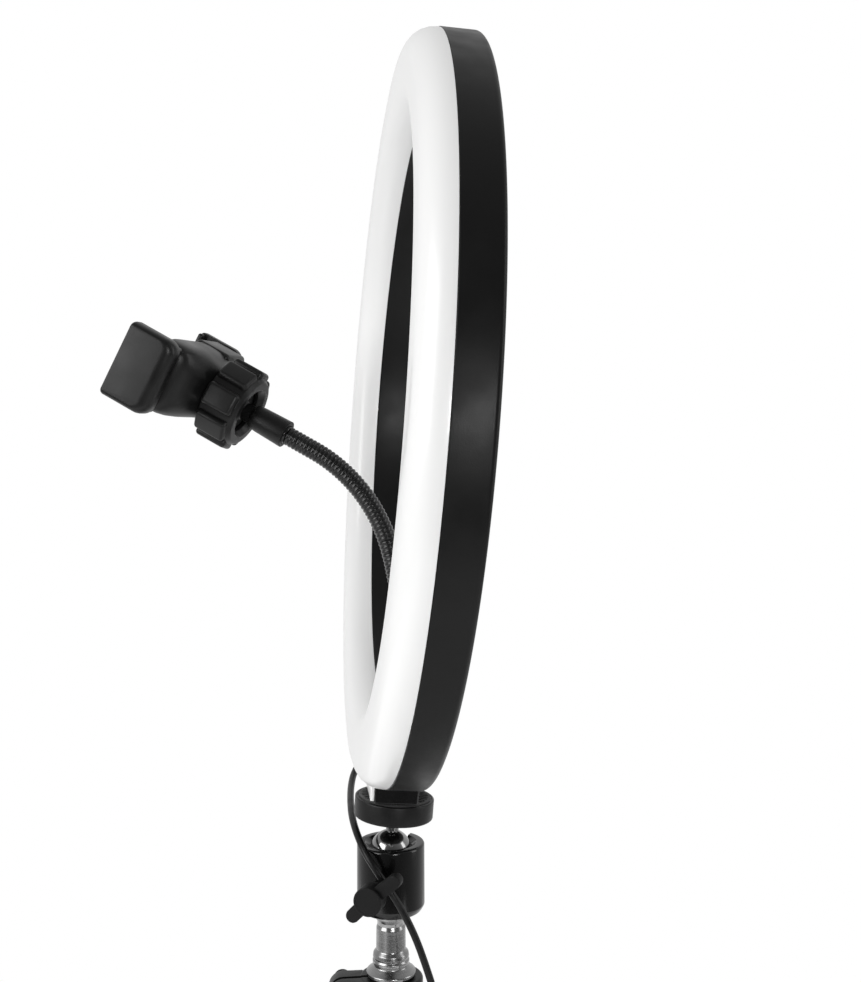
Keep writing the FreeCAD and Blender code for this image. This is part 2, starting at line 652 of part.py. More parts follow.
def make_mounting_foot():
    foot = box(-FOOT_HALF_WIDTH, FOOT_HALF_WIDTH, -FOOT_HALF_DEPTH, FOOT_HALF_DEPTH, FOOT_BOTTOM, FOOT_BOTTOM + 9)
    foot = softened(foot, 1.2, upright)
    foot = foot.cut(rod_along(RING_R, V(0, -20, RING_CENTRE), Y_AXIS, 40))
    foot = foot.cut(rod(4.6, FOOT_BOTTOM - 1, FOOT_BOTTOM + 6.2))
    for x in (-9, 9):
        foot = foot.cut(rod(1.1, FOOT_BOTTOM + 2, FOOT_BOTTOM + 12, x, 0))
    return on_head(foot)


def make_foot_insert():
    insert = rod(4.6, FOOT_BOTTOM, FOOT_BOTTOM + 6.2)
    return on_head(insert.cut(rod(STUD_R + RUN_CLEARANCE, FOOT_BOTTOM - 1, FOOT_BOTTOM + 7)))


def make_foot_screws():
    screws = []
    for x in (-9, 9):
        top = RING_CENTRE - math.sqrt((RING_R - RING_WALL) ** 2 - x * x) + 0.3
        screw = rod(1.1, FOOT_BOTTOM + 2.5, top, x, 0).fuse(rod(2.2, top, top + 1.2, x, 0))
        screws.append(on_head(screw))
    return screws


def cord_exit():
    direction = V(-sin(GLAND_ANGLE), 0, -cos(GLAND_ANGLE))
    return V(0, GLAND_Y, RING_CENTRE) + direction * RING_R, direction


def make_cord_boot():
    """Moulded grommet through the ring's wall, with the cord leaving its tip."""
    start, direction = cord_exit()
    boot = lathe([(0, -3.2), (3.1, -3.2), (3.1, -RING_WALL - 0.3), (2.6, -RING_WALL - 0.3), (2.6, 0.3), (3.4, 0.3),
                  (3.4, 1.2), (2.6, 1.9), (2.0, GLAND_LENGTH), (0, GLAND_LENGTH)])
    return on_head(aimed(boot, direction, start))


# --- Gooseneck and phone holder ---------------------------------------------------------------


def hose_frame(shape):
    """From a hose drawn in the X-Z plane, bending towards +X, to its place on the ring."""
    moved = shape.copy()
    moved.rotate(ZERO, Z_AXIS, -90 - HOSE_AZIMUTH)
    moved.translate(V(0, HOSE_BASE_Y, RING_CENTRE - RING_INNER_R))
    return on_head(moved)


def hose_point(p):
    a = -90 - HOSE_AZIMUTH
    q = V(p.x * cos(a) - p.y * sin(a), p.x * sin(a) + p.y * cos(a), p.z)
    q = q + V(0, HOSE_BASE_Y, RING_CENTRE - RING_INNER_R)
    return head_point(q)


def bend_step(at, heading, radius, degrees):
    """One arc of the hose's centre line: (edge, end, new heading), headings from vertical."""
    centre = at + V(cos(heading), 0, -sin(heading)) * radius
    middle = centre + V(-cos(heading + degrees / 2), 0, sin(heading + degrees / 2)) * radius
    end = centre + V(-cos(heading + degrees), 0, sin(heading + degrees)) * radius
    return Part.Arc(at, middle, end).toShape(), end, heading + degrees


def hose_line():
    """Centre line in three stretches, split where the hose is taken to bend."""
    p0 = V(0, 0, HOSE_BASE)
    p1 = p0 + V(0, 0, HOSE_STRAIGHT)
    arc1, p2, h2 = bend_step(p1, 0, HOSE_BEND_1_R, HOSE_BEND_1)
    arc2, p3, h3 = bend_step(p2, h2, HOSE_BEND_2_R, HOSE_BEND_2 / 2)
    arc3, p4, h4 = bend_step(p3, h3, HOSE_BEND_2_R, HOSE_BEND_2 / 2)
    p5 = p4 + V(sin(h4), 0, cos(h4)) * HOSE_END
    lower = [Part.LineSegment(p0, p1).toShape(), arc1]
    middle = [arc2]
    upper = [arc3, Part.LineSegment(p4, p5).toShape()]
    return [lower, middle, upper], [p0, p2, p3, p5], [0, h2, h3, h4]


def hose_piece(edges, heading):
    circle = Part.Circle(edges[0].Vertexes[0].Point, V(sin(heading), 0, cos(heading)), HOSE_R)
    section = Part.Wire(circle.toShape())
    return Part.Wire(edges).makePipeShell([section], True, False)


def make_hose():
    """Three hose stretches. Each later one starts with a cup over the ball end of the one before."""
    lines, points, headings = hose_line()
    pieces = []
    for i, edges in enumerate(lines):
        piece = hose_piece(edges, headings[i])
        if i < 2:
            piece = piece.fuse(Part.makeSphere(HOSE_R, points[i + 1]))
        if i > 0:
            along = V(sin(headings[i]), 0, cos(headings[i]))
            end_cut = rod_along(HOSE_R + 2, points[i] - along * 6, along, 6 + HINGE_GAP)
            piece = piece.cut(end_cut)
            piece = piece.cut(Part.makeSphere(HOSE_R + RUN_CLEARANCE, points[i]))
        pieces.append(hose_frame(piece))
    return pieces


def make_gooseneck_base():
    """Hex nut and threaded stud that screw the hose into the ring's inner wall."""
    base = hexagon(5.2, 0.3, 5.8).fuse(rod(4.4, 5.8, HOSE_BASE - 0.1))
    return hose_frame(base)


def make_gooseneck_stud():
    """Flanged threaded bush that holds the gooseneck's base, fixed in the ring's wall."""
    bush = rod(3.0, -RING_WALL - 1.8, 0.3).fuse(hexagon(3.6, -RING_WALL - 1.8, -RING_WALL - 0.3))
    return hose_frame(bush)


def holder_place():
    """Where the holder's ball sits, and the frame it is drawn in: x across, y up, z to the phone."""
    lines, points, headings = hose_line()
    h = headings[3]
    along = V(sin(h), 0, cos(h))
    return points[3] + along * STUD_REACH, h


def holder_frame(shape):
    """From the holder's own frame (x towards the camera side, y up, z towards the phone)."""
    centre, h = holder_place()
    moved = shape.copy()
    moved.Placement = FreeCAD.Placement(centre, holder_rotation(h)).multiply(moved.Placement)
    return hose_frame(moved)


def holder_rotation(h):
    return FreeCAD.Rotation(V(0, 1, 0), V(-cos(h), 0, sin(h)), V(sin(h), 0, cos(h)), "ZXY")


def holder_point(p):
    centre, h = holder_place()
    return hose_point(centre + holder_rotation(h).multVec(p))


def make_ball_stud():
    """Sleeve crimped on the hose, neck and ball."""
    sleeve = rod(SLEEVE_R, -STUD_REACH - 1, -STUD_REACH + SLEEVE_LENGTH)
    sleeve = sleeve.cut(rod(HOSE_R + RUN_CLEARANCE, -STUD_REACH - 2, -STUD_REACH + 0.1))
    neck = rod(3.4, -STUD_REACH + SLEEVE_LENGTH - 1, 0)
    ball = Part.makeSphere(HOLDER_BALL_R)
    return holder_frame(sleeve.fuse(neck).fuse(ball))


def make_lock_nut():
    """Ribbed ring nut, open at the front for the stud to swing."""
    nut = lathe([(0, -7), (12.2, -7), (13.4, -5.8), (NUT_R, -2), (NUT_R, 7), (0, 7)])
    for i in range(8):
        rib = box(10, NUT_RIB_R, -2.6, 2.6, -5.2, 7)
        rib = softened(rib, 1.1, lambda e: e.BoundBox.XMin > NUT_RIB_R - 0.01)
        nut = nut.fuse(round_column(rib, 45 * i + 12))
    nut = nut.cut(lathe([(0, -8), (9.6, -8), (8.2, -5), (8.2, -3.6), (0, -3.6)]))
    nut = nut.cut(rod(11.0 + RUN_CLEARANCE, -3.6, 9))
    return holder_frame(nut)


def make_friction_cup():
    """Split plastic cup between the ball and the nut."""
    cup = lathe([(0, -3.5), (7.6, -3.5), (7.6, 3.0), (0, 3.0)])
    cup = cup.cut(Part.makeSphere(HOLDER_BALL_R + RUN_CLEARANCE))
    cup = cup.cut(rod(5.2, -6, 0))
    cup = cup.cut(rod(3.4, -1, 6))
    return holder_frame(cup)


def rounded_block(x0, x1, y0, y1, z0, z1, radius):
    return softened(box(x0, x1, y0, y1, z0, z1), radius, lambda e: True)


def make_holder_body():
    """Socket, neck, slide housing and fixed jaw in one moulding."""
    socket = rod(11.0, -3.0, 9)
    neck_profile = [V(-11, -9.5, 7.4), V(11, -9.5, 7.4), V(11, 9.5, 7.4), V(-11, 9.5, 7.4)]
    wide_profile = [V(-20, -13.2, 15.5), V(20, -13.2, 15.5), V(20, 13.2, 15.5), V(-20, 13.2, 15.5)]
    wires = [Part.makePolygon(p + [p[0]]) for p in (neck_profile, wide_profile)]
    neck = Part.makeLoft(wires, True, True)
    back = rounded_block(-JAW_OUTER, 22.5, -13.6, 13.6, 14.5, 24.5, 2.4)
    jaw = rounded_block(-JAW_OUTER, -JAW_OUTER + JAW_THICK, -JAW_HALF_HEIGHT, JAW_HALF_HEIGHT, 15.5, JAW_FRONT, 2.4)
    lip = rounded_block(-JAW_OUTER, -JAW_OUTER + 9.5, -JAW_HALF_HEIGHT, JAW_HALF_HEIGHT, 32.4, JAW_FRONT, 1.4)
    tab = rounded_block(-26, -6, 10.5, 14.6, 8.5, 26.0, 1.2)
    body = socket.fuse(neck).fuse(back).fuse(jaw).fuse(lip).fuse(tab)
    body = body.cut(box(-27, 40, -9.1, 9.1, 17.4, 21.6))
    body = body.cut(rod(7.7, -4, 3.3))
    body = body.cut(Part.makeSphere(HOLDER_BALL_R + 0.9))
    return holder_frame(body)


def make_moving_jaw():
    """Broad jaw on a tongue that slides in the housing."""
    inner = JAW_OUTER - JAW_THICK
    jaw = rounded_block(JAW_OUTER - 9.5, JAW_OUTER, -JAW_HALF_HEIGHT, JAW_HALF_HEIGHT, JAW_BACK, JAW_FRONT, 2.8)
    jaw = jaw.cut(box(0, inner, -20, 20, 23, 32.6))
    tongue = box(-26, inner, -9, 9, 17.5, 21.5).cut(box(-27, 16, -3.2, 3.2, 16, 23))
    return holder_frame(jaw.fuse(tongue).removeSplitter())


def make_jaw_spring():
    """Plain tube for the coil spring that lies in the tongue's slot."""
    spring = rod_along(1.9, V(-26.5, 0, 19.5), X_AXIS, 42)
    return holder_frame(spring.cut(rod_along(1.2, V(-40, 0, 19.5), X_AXIS, 80)))


def make_jaw_pad(side):
    """Rubber pad on a jaw's inner face."""
    inner = JAW_OUTER - JAW_THICK
    near = PHONE_GAP / 2
    x0, x1 = (near, inner) if side > 0 else (-inner, -near)
    return holder_frame(box(x0, x1, -11.5, 11.5, 26.2, 32.2))


# --- Cord, its controller and plug --------------------------------------------------------------

CORD_FLOOR = FLOOR_GAP + CORD_R


def light_cord_points():
    """From the grommet, under the disc's front, past the ball head and down behind the column."""
    start, direction = cord_exit()
    tip = head_point(start + direction * GLAND_LENGTH)
    ahead = head_point(start + direction * (GLAND_LENGTH + 8)) - tip
    b = BALL_Z
    points = [tip, tip + ahead, V(-52.0, -6.1, b + 19.8), V(-44.6, -10.6, b + 16.0), V(-33, -12.5, b + 13.8),
              V(-20, -13.4, b + 12.0), V(-7, -13.6, b + 10.2), V(4, -12.4, b + 7.4), V(11.8, -9.9, b + 3.0),
              V(15.3, -6.0, b - 2.6), V(16.5, -1.4, b - 9.2), V(16.9, 3.0, b - 16.8), V(17.1, 7.1, b - 25.6),
              V(16.9, 10.4, b - 35.0), V(16.0, 13.6, b - 45.4), V(14.6, 17.6, b - 58), V(13.4, 24.5, b - 79),
              V(11.5, 32, b - 117), V(8.5, 38.5, b - 168), V(7, 43, b - 224), V(3.5, 45, b - 281),
              V(1, 44.5, b - 338), V(-3, 47, b - 394), V(-7, 50, 74), V(-9, 54, 41), V(-9.5, 58, 21),
              V(-4.5, 62.5, 8.2), V(5.5, 67, 2.6), V(15.5, 69.9, 2.6)]
    return points + [case_point(-CASE_LENGTH / 2 - CASE_RELIEF)]


def controller_lead_points():
    """From the controller round to the coil, on the floor."""
    z = CORD_FLOOR
    end_y = COIL_CENTRE[1] + COIL_MIDDLE_R + 1.5 * 2 * CORD_R
    return [case_point(CASE_LENGTH / 2 + CASE_RELIEF), V(101, 108.4, 3.4), V(110, 116.2, 1.8), V(113, 127.2, z),
            V(107, 138, z), V(95, 145, z), V(78, 148.4, z), V(55, 147.8, z), V(31, 144.7, z), V(9, 140.8, z),
            V(COIL_CENTRE[0] + 12, end_y, z)]


def case_point(along):
    """Where the cord meets the controller's strain relief."""
    return V(CASE_CENTRE[0] + along * cos(CASE_HEADING), CASE_CENTRE[1] + along * sin(CASE_HEADING), 4.6)


def tube_along(name, points, radius):
    """Straight runs joined by the largest tangent arcs that they allow."""
    edges = []
    radii = []
    last = points[0]
    for before, corner, after in zip(points, points[1:], points[2:]):
        back = V(before - corner).normalize()
        ahead = V(after - corner).normalize()
        turn = math.pi - back.getAngle(ahead)
        reach = 0.45 * min((corner - before).Length, (after - corner).Length)
        arc_radius = reach / math.tan(turn / 2)
        radii.append(arc_radius)
        start = corner + back * reach
        end = corner + ahead * reach
        to_centre = (back + ahead).normalize()
        centre = corner + to_centre * (arc_radius / math.cos(turn / 2))
        edges.append(Part.LineSegment(last, start).toShape())
        edges.append(Part.Arc(start, centre - to_centre * arc_radius, end).toShape())
        last = end
    edges.append(Part.LineSegment(last, points[-1]).toShape())
    path = Part.Wire(edges)
    circle = Part.Circle(points[0], points[1] - points[0], radius)
    tube = path.makePipeShell([Part.Wire(circle.toShape())], True, False)
    expected = math.pi * radius ** 2 * path.Length
    print("%s: length %.1f mm, volume %.4f of section x length, least radius %.1f mm"
          % (name, path.Length, tube.Volume / expected, min(radii)))
    print("  radii", " ".join("%.0f" % r for r in radii))
    return tube


def make_coil():
    wide = COIL_TURNS_WIDE * CORD_R
    x, y = COIL_CENTRE
    top = FLOOR_GAP + 2 * CORD_R * COIL_TURNS_HIGH
    coil = rod(COIL_MIDDLE_R + wide, FLOOR_GAP, top, x, y).cut(rod(COIL_MIDDLE_R - wide, -1, top + 1, x, y))
    turns = COIL_TURNS_WIDE * COIL_TURNS_HIGH
    print("coil: %d turns, %.0f mm of cord" % (turns, 2 * math.pi * COIL_MIDDLE_R * turns))
    return coil


def plug_x():
    return COIL_CENTRE[0] - COIL_MIDDLE_R - 1.5 * 2 * CORD_R


PLUG_CORD_END = 101
PLUG_GRIP_END = 77
PLUG_Z = FLOOR_GAP + 3 * CORD_R


def make_plug_lead():
    """Last straight of the cord, from the coil to the plug."""
    start = V(plug_x(), COIL_CENTRE[1] - 10, PLUG_Z)
    return rod_along(CORD_R, start, V(0, -1, 0), start.y - PLUG_CORD_END)


def make_plug_grip():
    """Moulded grip with a tapered tail, and the plastic tongue inside the shell."""
    x = plug_x()
    grip = rounded_block(x - 7.75, x + 7.75, PLUG_GRIP_END, PLUG_CORD_END - 5, FLOOR_GAP, FLOOR_GAP + 7.6, 1.6)
    tail = Part.makeCone(3.4, 2.0, 7, V(x, PLUG_CORD_END - 7, PLUG_Z), Y_AXIS)
    tongue = box(x - 5.2, x + 5.2, PLUG_GRIP_END - 10.5, PLUG_GRIP_END + 1, PLUG_Z + 0.1, PLUG_Z + 1.7)
    return grip.fuse(tail).fuse(tongue)


def make_plug_shell():
    x = plug_x()
    shell = box(x - 6, x + 6, PLUG_GRIP_END - 12, PLUG_GRIP_END, PLUG_Z - 2.25, PLUG_Z + 2.25)
    return shell.cut(box(x - 5.6, x + 5.6, PLUG_GRIP_END - 13, PLUG_GRIP_END + 1, PLUG_Z - 1.85, PLUG_Z + 1.85))


def case_frame(shape):
    moved = shape.copy()
    moved.rotate(ZERO, Z_AXIS, CASE_HEADING)
    moved.translate(V(CASE_CENTRE[0], CASE_CENTRE[1], 0))
    return moved


def make_controller_case():
    """Hollow case with a round hole for the button, a slot for the rocker and a relief at each end."""
    half = CASE_LENGTH / 2
    wide = CASE_WIDTH / 2
    case = rounded_block(-half, half, -wide, wide, FLOOR_GAP, CASE_TOP, 2.6)
    for side in (-1, 1):
        relief = Part.makeCone(3.6, 2.2, CASE_RELIEF + 2, V(side * (half - 2), 0, 4.6), V(side, 0, 0))
        case = case.fuse(relief)
    case = case.cut(box(-half + 2.2, half - 2.2, -wide + 1.8, wide - 1.8, 2.0, CASE_TOP - 1.6))
    for side in (-1, 1):
        y0, y1 = (4.0, 6.0) if side > 0 else (-6.0, -4.0)
        case = case.fuse(box(ROCKER_X - 2.2, ROCKER_X + 2.2, y0, y1, 7.2, CASE_TOP - 1.2))
    case = case.cut(rod(3.4 + RUN_CLEARANCE, 8, 20, BUTTON_X, 0))
    case = case.cut(box(ROCKER_X - 8.6, ROCKER_X + 8.6, -3.9, 3.9, CASE_TOP - 2, 20))
    case = case.cut(rod_along(0.9 + RUN_CLEARANCE, V(ROCKER_X, -8, 8.6), Y_AXIS, 16).common(
        box(-40, 40, -6.5, 6.5, 0, 20)))
    return case_frame(case.removeSplitter())


def make_controller_board():
    board = box(-27, 27, -7, 7, 3.4, 4.6)
    return case_frame(board.fuse(rod(1.4, 4.6, 6.9, BUTTON_X, 0)))


def make_power_button():
    cap = rod(3.4, 7.9, CASE_TOP + 0.9, BUTTON_X, 0).fuse(rod(4.2, 7.9, 8.8, BUTTON_X, 0))
    return case_frame(cap)


def make_rocker():
    """Two-way key on a short cross pin."""
    key = box(ROCKER_X - 8, ROCKER_X + 8, -3.5, 3.5, 7.8, CASE_TOP + 0.9)
    key = softened(key, 1.0, lambda e: e.BoundBox.ZMin > CASE_TOP + 0.8)
    return case_frame(key.fuse(rod_along(0.9, V(ROCKER_X, -5.8, 8.6), Y_AXIS, 11.6)))


# --- Write every piece -----------------------------------------------------------------------

MID_LOW = MID_TOP - MID_LENGTH
TOP_LOW = FLANGE_Z - TOP_LENGTH

save("main_tube", make_tube(MAIN_R, MAIN_BORE_R, MAIN_BOTTOM, MAIN_TOP))
save("mid_tube", make_tube(MID_R, MID_BORE_R, MID_LOW, MID_TOP))
save("top_tube", make_tube(TOP_R, TOP_BORE_R, TOP_LOW, FLANGE_Z))
save("mid_bush", make_bush(MID_BORE_R, MAIN_BORE_R, MID_LOW))
save("top_bush", make_bush(TOP_BORE_R, MID_BORE_R, TOP_LOW))
save("hub", make_hub())
save("slider", make_slider(), *make_ear_rivets())
save("slider_knob", make_slider_knob())
for number, azimuth in enumerate(LEG_AZIMUTHS, 1):
    save("leg_%d" % number, leg_frame(make_leg(), azimuth))
    save("leg_clip_%d" % number, leg_frame(make_clip(), azimuth))
    save("foot_%d" % number, make_foot(azimuth))
    save("strut_%d" % number, *make_strut(azimuth))
save("collar_lower", make_collar(MAIN_R, MID_R, MAIN_TOP), make_collar_nut(MAIN_TOP))
save("collar_lower_knob", make_collar_knob(MAIN_TOP))
save("collar_upper", make_collar(MID_R, TOP_R, MID_TOP), make_collar_nut(MID_TOP))
save("collar_upper_knob", make_collar_knob(MID_TOP))
save("spigot", make_spigot())

save("head_body", make_ball_head())
save("ball_cup", make_ball_cup())
save("wing_knob", make_wing_knob())
save("ball_stem", make_ball_stem())
save("platform_disc", make_disc())
save("platform_pad", make_pad())

save("rear_housing", make_housing())
save("diffuser", make_diffuser())
save("led_board", make_board())
save("leds", *make_leds())
save("housing_screws", *make_housing_screws(), *make_foot_screws())
save("mounting_foot", make_mounting_foot(), make_foot_insert())
save("cord_grommet", make_cord_boot())

save("gooseneck_base", make_gooseneck_base(), make_gooseneck_stud())
for name, hose in zip(("hose_lower", "hose_middle", "hose_upper"), make_hose()):
    save(name, hose)
save("ball_stud", make_ball_stud())
save("lock_nut", make_lock_nut())
save("friction_cup", make_friction_cup())
save("holder_body", make_holder_body())
save("moving_jaw", make_moving_jaw())
save("jaw_spring", make_jaw_spring())
save("fixed_pad", make_jaw_pad(-1))
save("moving_pad", make_jaw_pad(1))

save("light_cord", tube_along("light_cord", light_cord_points(), CORD_R))
save("controller_lead", tube_along("controller_lead", controller_lead_points(), CORD_R))
save("cord_coil", make_coil())
save("plug_lead", make_plug_lead())
save("plug_grip", make_plug_grip())
save("plug_shell", make_plug_shell())
save("controller_case", make_controller_case())
save("controller_board", make_controller_board())
save("power_button", make_power_button())
save("brightness_rocker", make_rocker())

print(len(saved), "nodes")
print("column_y %.2f slider_z %.2f hub_z %.2f ball_z %.2f" % (COLUMN_Y, SLIDER_Z, HUB_Z, BALL_Z))
print("strut_spread %.3f strut_folded %.3f slider_travel %.3f" % (STRUT_SPREAD, STRUT_FOLDED, SLIDER_TRAVEL))
print("clip_r %.2f clip_z %.2f" % (CLIP_R, CLIP_Z))
for label, point in (("ring centre", head_point(V(0, RING_FRONT_Y, RING_CENTRE))),
                     ("hose base", hose_point(V(0, 0, HOSE_BASE))),
                     ("hose bend 1", hose_point(hose_line()[1][1])),
                     ("hose bend 2", hose_point(hose_line()[1][2])),
                     ("hose end", hose_point(hose_line()[1][3])),
                     ("holder ball", holder_point(ZERO))):
    print("%s (%.2f, %.2f, %.2f)" % (label, point.x, point.y + COLUMN_Y, point.z))
for label, direction in (("holder across", X_AXIS), ("holder up", Y_AXIS), ("holder along", Z_AXIS)):
    d = holder_point(direction) - holder_point(ZERO)
    print("%s (%.5f, %.5f, %.5f)" % (label, d.x, d.y, d.z))
d = head_point(Z_AXIS) - head_point(ZERO)
print("head axis (%.5f, %.5f, %.5f)" % (d.x, d.y, d.z))
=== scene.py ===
import json
import math

import bmesh
import bpy
from mathutils import Matrix, Vector


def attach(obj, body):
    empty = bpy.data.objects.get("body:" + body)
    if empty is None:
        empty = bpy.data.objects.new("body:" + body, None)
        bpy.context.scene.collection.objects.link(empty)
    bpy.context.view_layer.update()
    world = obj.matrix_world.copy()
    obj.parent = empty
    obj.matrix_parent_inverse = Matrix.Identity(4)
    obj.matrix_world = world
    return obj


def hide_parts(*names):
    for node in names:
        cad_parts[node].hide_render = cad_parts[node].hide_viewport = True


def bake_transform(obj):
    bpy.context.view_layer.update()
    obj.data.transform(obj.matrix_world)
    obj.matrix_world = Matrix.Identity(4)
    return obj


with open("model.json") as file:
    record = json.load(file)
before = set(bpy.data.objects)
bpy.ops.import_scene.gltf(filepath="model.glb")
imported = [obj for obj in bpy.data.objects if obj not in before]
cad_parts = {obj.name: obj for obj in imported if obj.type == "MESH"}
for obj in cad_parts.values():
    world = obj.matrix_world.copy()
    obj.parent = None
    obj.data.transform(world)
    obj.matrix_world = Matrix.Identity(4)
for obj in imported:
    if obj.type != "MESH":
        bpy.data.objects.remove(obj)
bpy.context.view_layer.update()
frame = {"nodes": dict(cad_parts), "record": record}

MM = 0.001
joints = {j["name"]: j for j in frame["record"]["behaviour"]["joints"]}

# --- Frames, from the model's own joints ----------------------------------------------------------

ball = Vector(joints["head_pan"]["pos_m"])
head_axis = Vector(joints["disc_turn"]["axis"])
bend_1 = Vector(joints["gooseneck_lower_bend"]["pos_m"])
bend_2 = Vector(joints["gooseneck_upper_bend"]["pos_m"])
holder_ball = Vector(joints["holder_roll"]["pos_m"])
holder_along = Vector(joints["holder_roll"]["axis"])
holder_across = Vector(joints["holder_tilt"]["axis"])


def axes(x, y, z, origin):
    m = Matrix((x, y, z)).transposed().to_4x4()
    m.translation = origin
    return m


X = Vector((1, 0, 0))
Z = Vector((0, 0, 1))
column = Matrix.Translation(ball)                       # upright, from the ball's centre
head = axes(X, head_axis.cross(X), head_axis, ball)     # the light's own upright
RING_UP = 157.9         # ring's centre above the ball, along the light's own upright
ring = axes(X, -head_axis, head_axis.cross(X), head @ Vector((0, -8.0 * MM, RING_UP * MM)))
holder = axes(holder_across, holder_along.cross(holder_across), holder_along, holder_ball)
knob_dir = Vector(joints["wing_knob_turn"]["axis"])
knob = axes(Z.cross(knob_dir), Z, knob_dir, Vector(joints["wing_knob_turn"]["pos_m"]))


# --- Mesh helpers, in millimetres -----------------------------------------------------------------


def finish_mesh(bm, name, place, sharp=38):
    mesh = bpy.data.meshes.new(name)
    bmesh.ops.scale(bm, vec=(MM, MM, MM), verts=bm.verts)
    bmesh.ops.transform(bm, matrix=place, verts=bm.verts)
    bmesh.ops.recalc_face_normals(bm, faces=bm.faces)
    bm.to_mesh(mesh)
    bm.free()
    mesh.shade_smooth()
    mesh.set_sharp_from_angle(angle=math.radians(sharp))
    obj = bpy.data.objects.new(name, mesh)
    bpy.context.scene.collection.objects.link(obj)
    return obj


def rounded(points, steps=6):
    """Profile corners (r, z, fillet) as plain points, each fillet an arc."""
    out = []
    count = len(points)
    for i, point in enumerate(points):
        here = Vector(point[:2])
        fillet = point[2] if len(point) > 2 else 0
        if fillet == 0:
            out.append(here)
            continue
        last, following = points[i - 1], points[(i + 1) % count]
        before = Vector(last[:2]) - here
        after = Vector(following[:2]) - here
        half = before.angle(after) / 2
        room = [side.length * (0.49 if len(other) > 2 and other[2] else 0.98)
                for side, other in ((before, last), (after, following))]
        reach = min(fillet / math.tan(half), *room)
        radius = reach * math.tan(half)
        middle = (before.normalized() + after.normalized()).normalized()
        centre = here + middle * (radius / math.sin(half))
        start = here + before.normalized() * reach - centre
        end = here + after.normalized() * reach - centre
        turn = math.atan2(start.x * end.y - start.y * end.x, start.dot(end))
        for k in range(steps + 1):
            a = turn * k / steps
            c, s = math.cos(a), math.sin(a)
            out.append(centre + Vector((start.x * c - start.y * s, start.x * s + start.y * c)))
    return out


def add_lathe(bm, points, segments=96, at=None):
    """Turn a closed profile about Z, or about the axis of the matrix at."""
    profile = rounded(points)
    place = at or Matrix.Identity(4)
    rings = []
    for p in profile:
        if p.x < 1e-6:
            rings.append([bm.verts.new(place @ Vector((0, 0, p.y)))])
            continue
        rings.append([bm.verts.new(place @ Vector((p.x * math.cos(2 * math.pi * k / segments),
                                                   p.x * math.sin(2 * math.pi * k / segments), p.y)))
                      for k in range(segments)])
    for a, b in zip(rings, rings[1:] + rings[:1]):
        for k in range(segments):
            n = (k + 1) % segments
            corners = [a[k % len(a)], a[n % len(a)], b[n % len(b)], b[k % len(b)]]
            unique = []
            for v in corners:
                if v not in unique:
                    unique.append(v)
            if len(unique) > 2:
                bm.faces.new(unique)


def add_block(bm, low, high, radius, segments=4, at=None):
    """Box with rounded edges."""
    size = [h - l for l, h in zip(low, high)]
    middle = [(h + l) / 2 for l, h in zip(low, high)]
    part = bmesh.new()
    bmesh.ops.create_cube(part, size=1)
    bmesh.ops.scale(part, vec=size, verts=part.verts)
    if radius:
        bmesh.ops.bevel(part, geom=part.edges[:], offset=min(radius, 0.48 * min(size)), segments=segments,
                        profile=0.5, affect="EDGES")
    bmesh.ops.translate(part, vec=middle, verts=part.verts)
    if at:
        bmesh.ops.transform(part, matrix=at, verts=part.verts)
    add_part(bm, part)


def add_part(bm, part):
    mesh = bpy.data.meshes.new("part")
    part.to_mesh(mesh)
    part.free()
    bm.from_mesh(mesh)
    bpy.data.meshes.remove(mesh)


def add_plate(bm, outline, z0, z1, bevel=0.6, at=None):
    """Flat plate on a 2-D outline, its edges rounded."""
    part = bmesh.new()
    add_skin(part, [[part.verts.new((x, y, z)) for x, y in outline] for z in (z0, z1)])
    rim = [e for e in part.edges if abs(e.verts[0].co.z - e.verts[1].co.z) < 1e-6]
    bmesh.ops.bevel(part, geom=rim, offset=bevel, segments=3, profile=0.5, affect="EDGES")
    if at:
        bmesh.ops.transform(part, matrix=at, verts=part.verts)
    add_part(bm, part)


def lathe_object(name, place, points, segments=96, at=None, sharp=38):
    bm = bmesh.new()
    add_lathe(bm, points, segments, at)
    return finish_mesh(bm, name, place, sharp)


def block_object(name, place, low, high):
    bm = bmesh.new()
    add_block(bm, low, high, 0)
    return finish_mesh(bm, name, place)


def cut(obj, cutters):
    """Take other objects away from obj, and drop them."""
    for cutter in cutters:
        modifier = obj.modifiers.new("cut", "BOOLEAN")
        modifier.object = cutter
        modifier.operation = "DIFFERENCE"
        modifier.solver = "EXACT"
    settle(obj)
    for cutter in cutters:
        bpy.data.objects.remove(cutter, do_unlink=True)
    obj.data.set_sharp_from_angle(angle=math.radians(35))


def settle(obj):
    """Apply every modifier."""
    graph = bpy.context.evaluated_depsgraph_get()
    mesh = bpy.data.meshes.new_from_object(obj.evaluated_get(graph))
    obj.modifiers.clear()
    obj.data = mesh


def add_skin(bm, rows):
    """Closed surface through rows of vertices, with a flat face on each end."""
    for a, b in zip(rows, rows[1:]):
        for k in range(len(a)):
            n = (k + 1) % len(a)
            bm.faces.new((a[k], a[n], b[n], b[k]))
    bm.faces.new(rows[0][::-1])
    bm.faces.new(rows[-1])


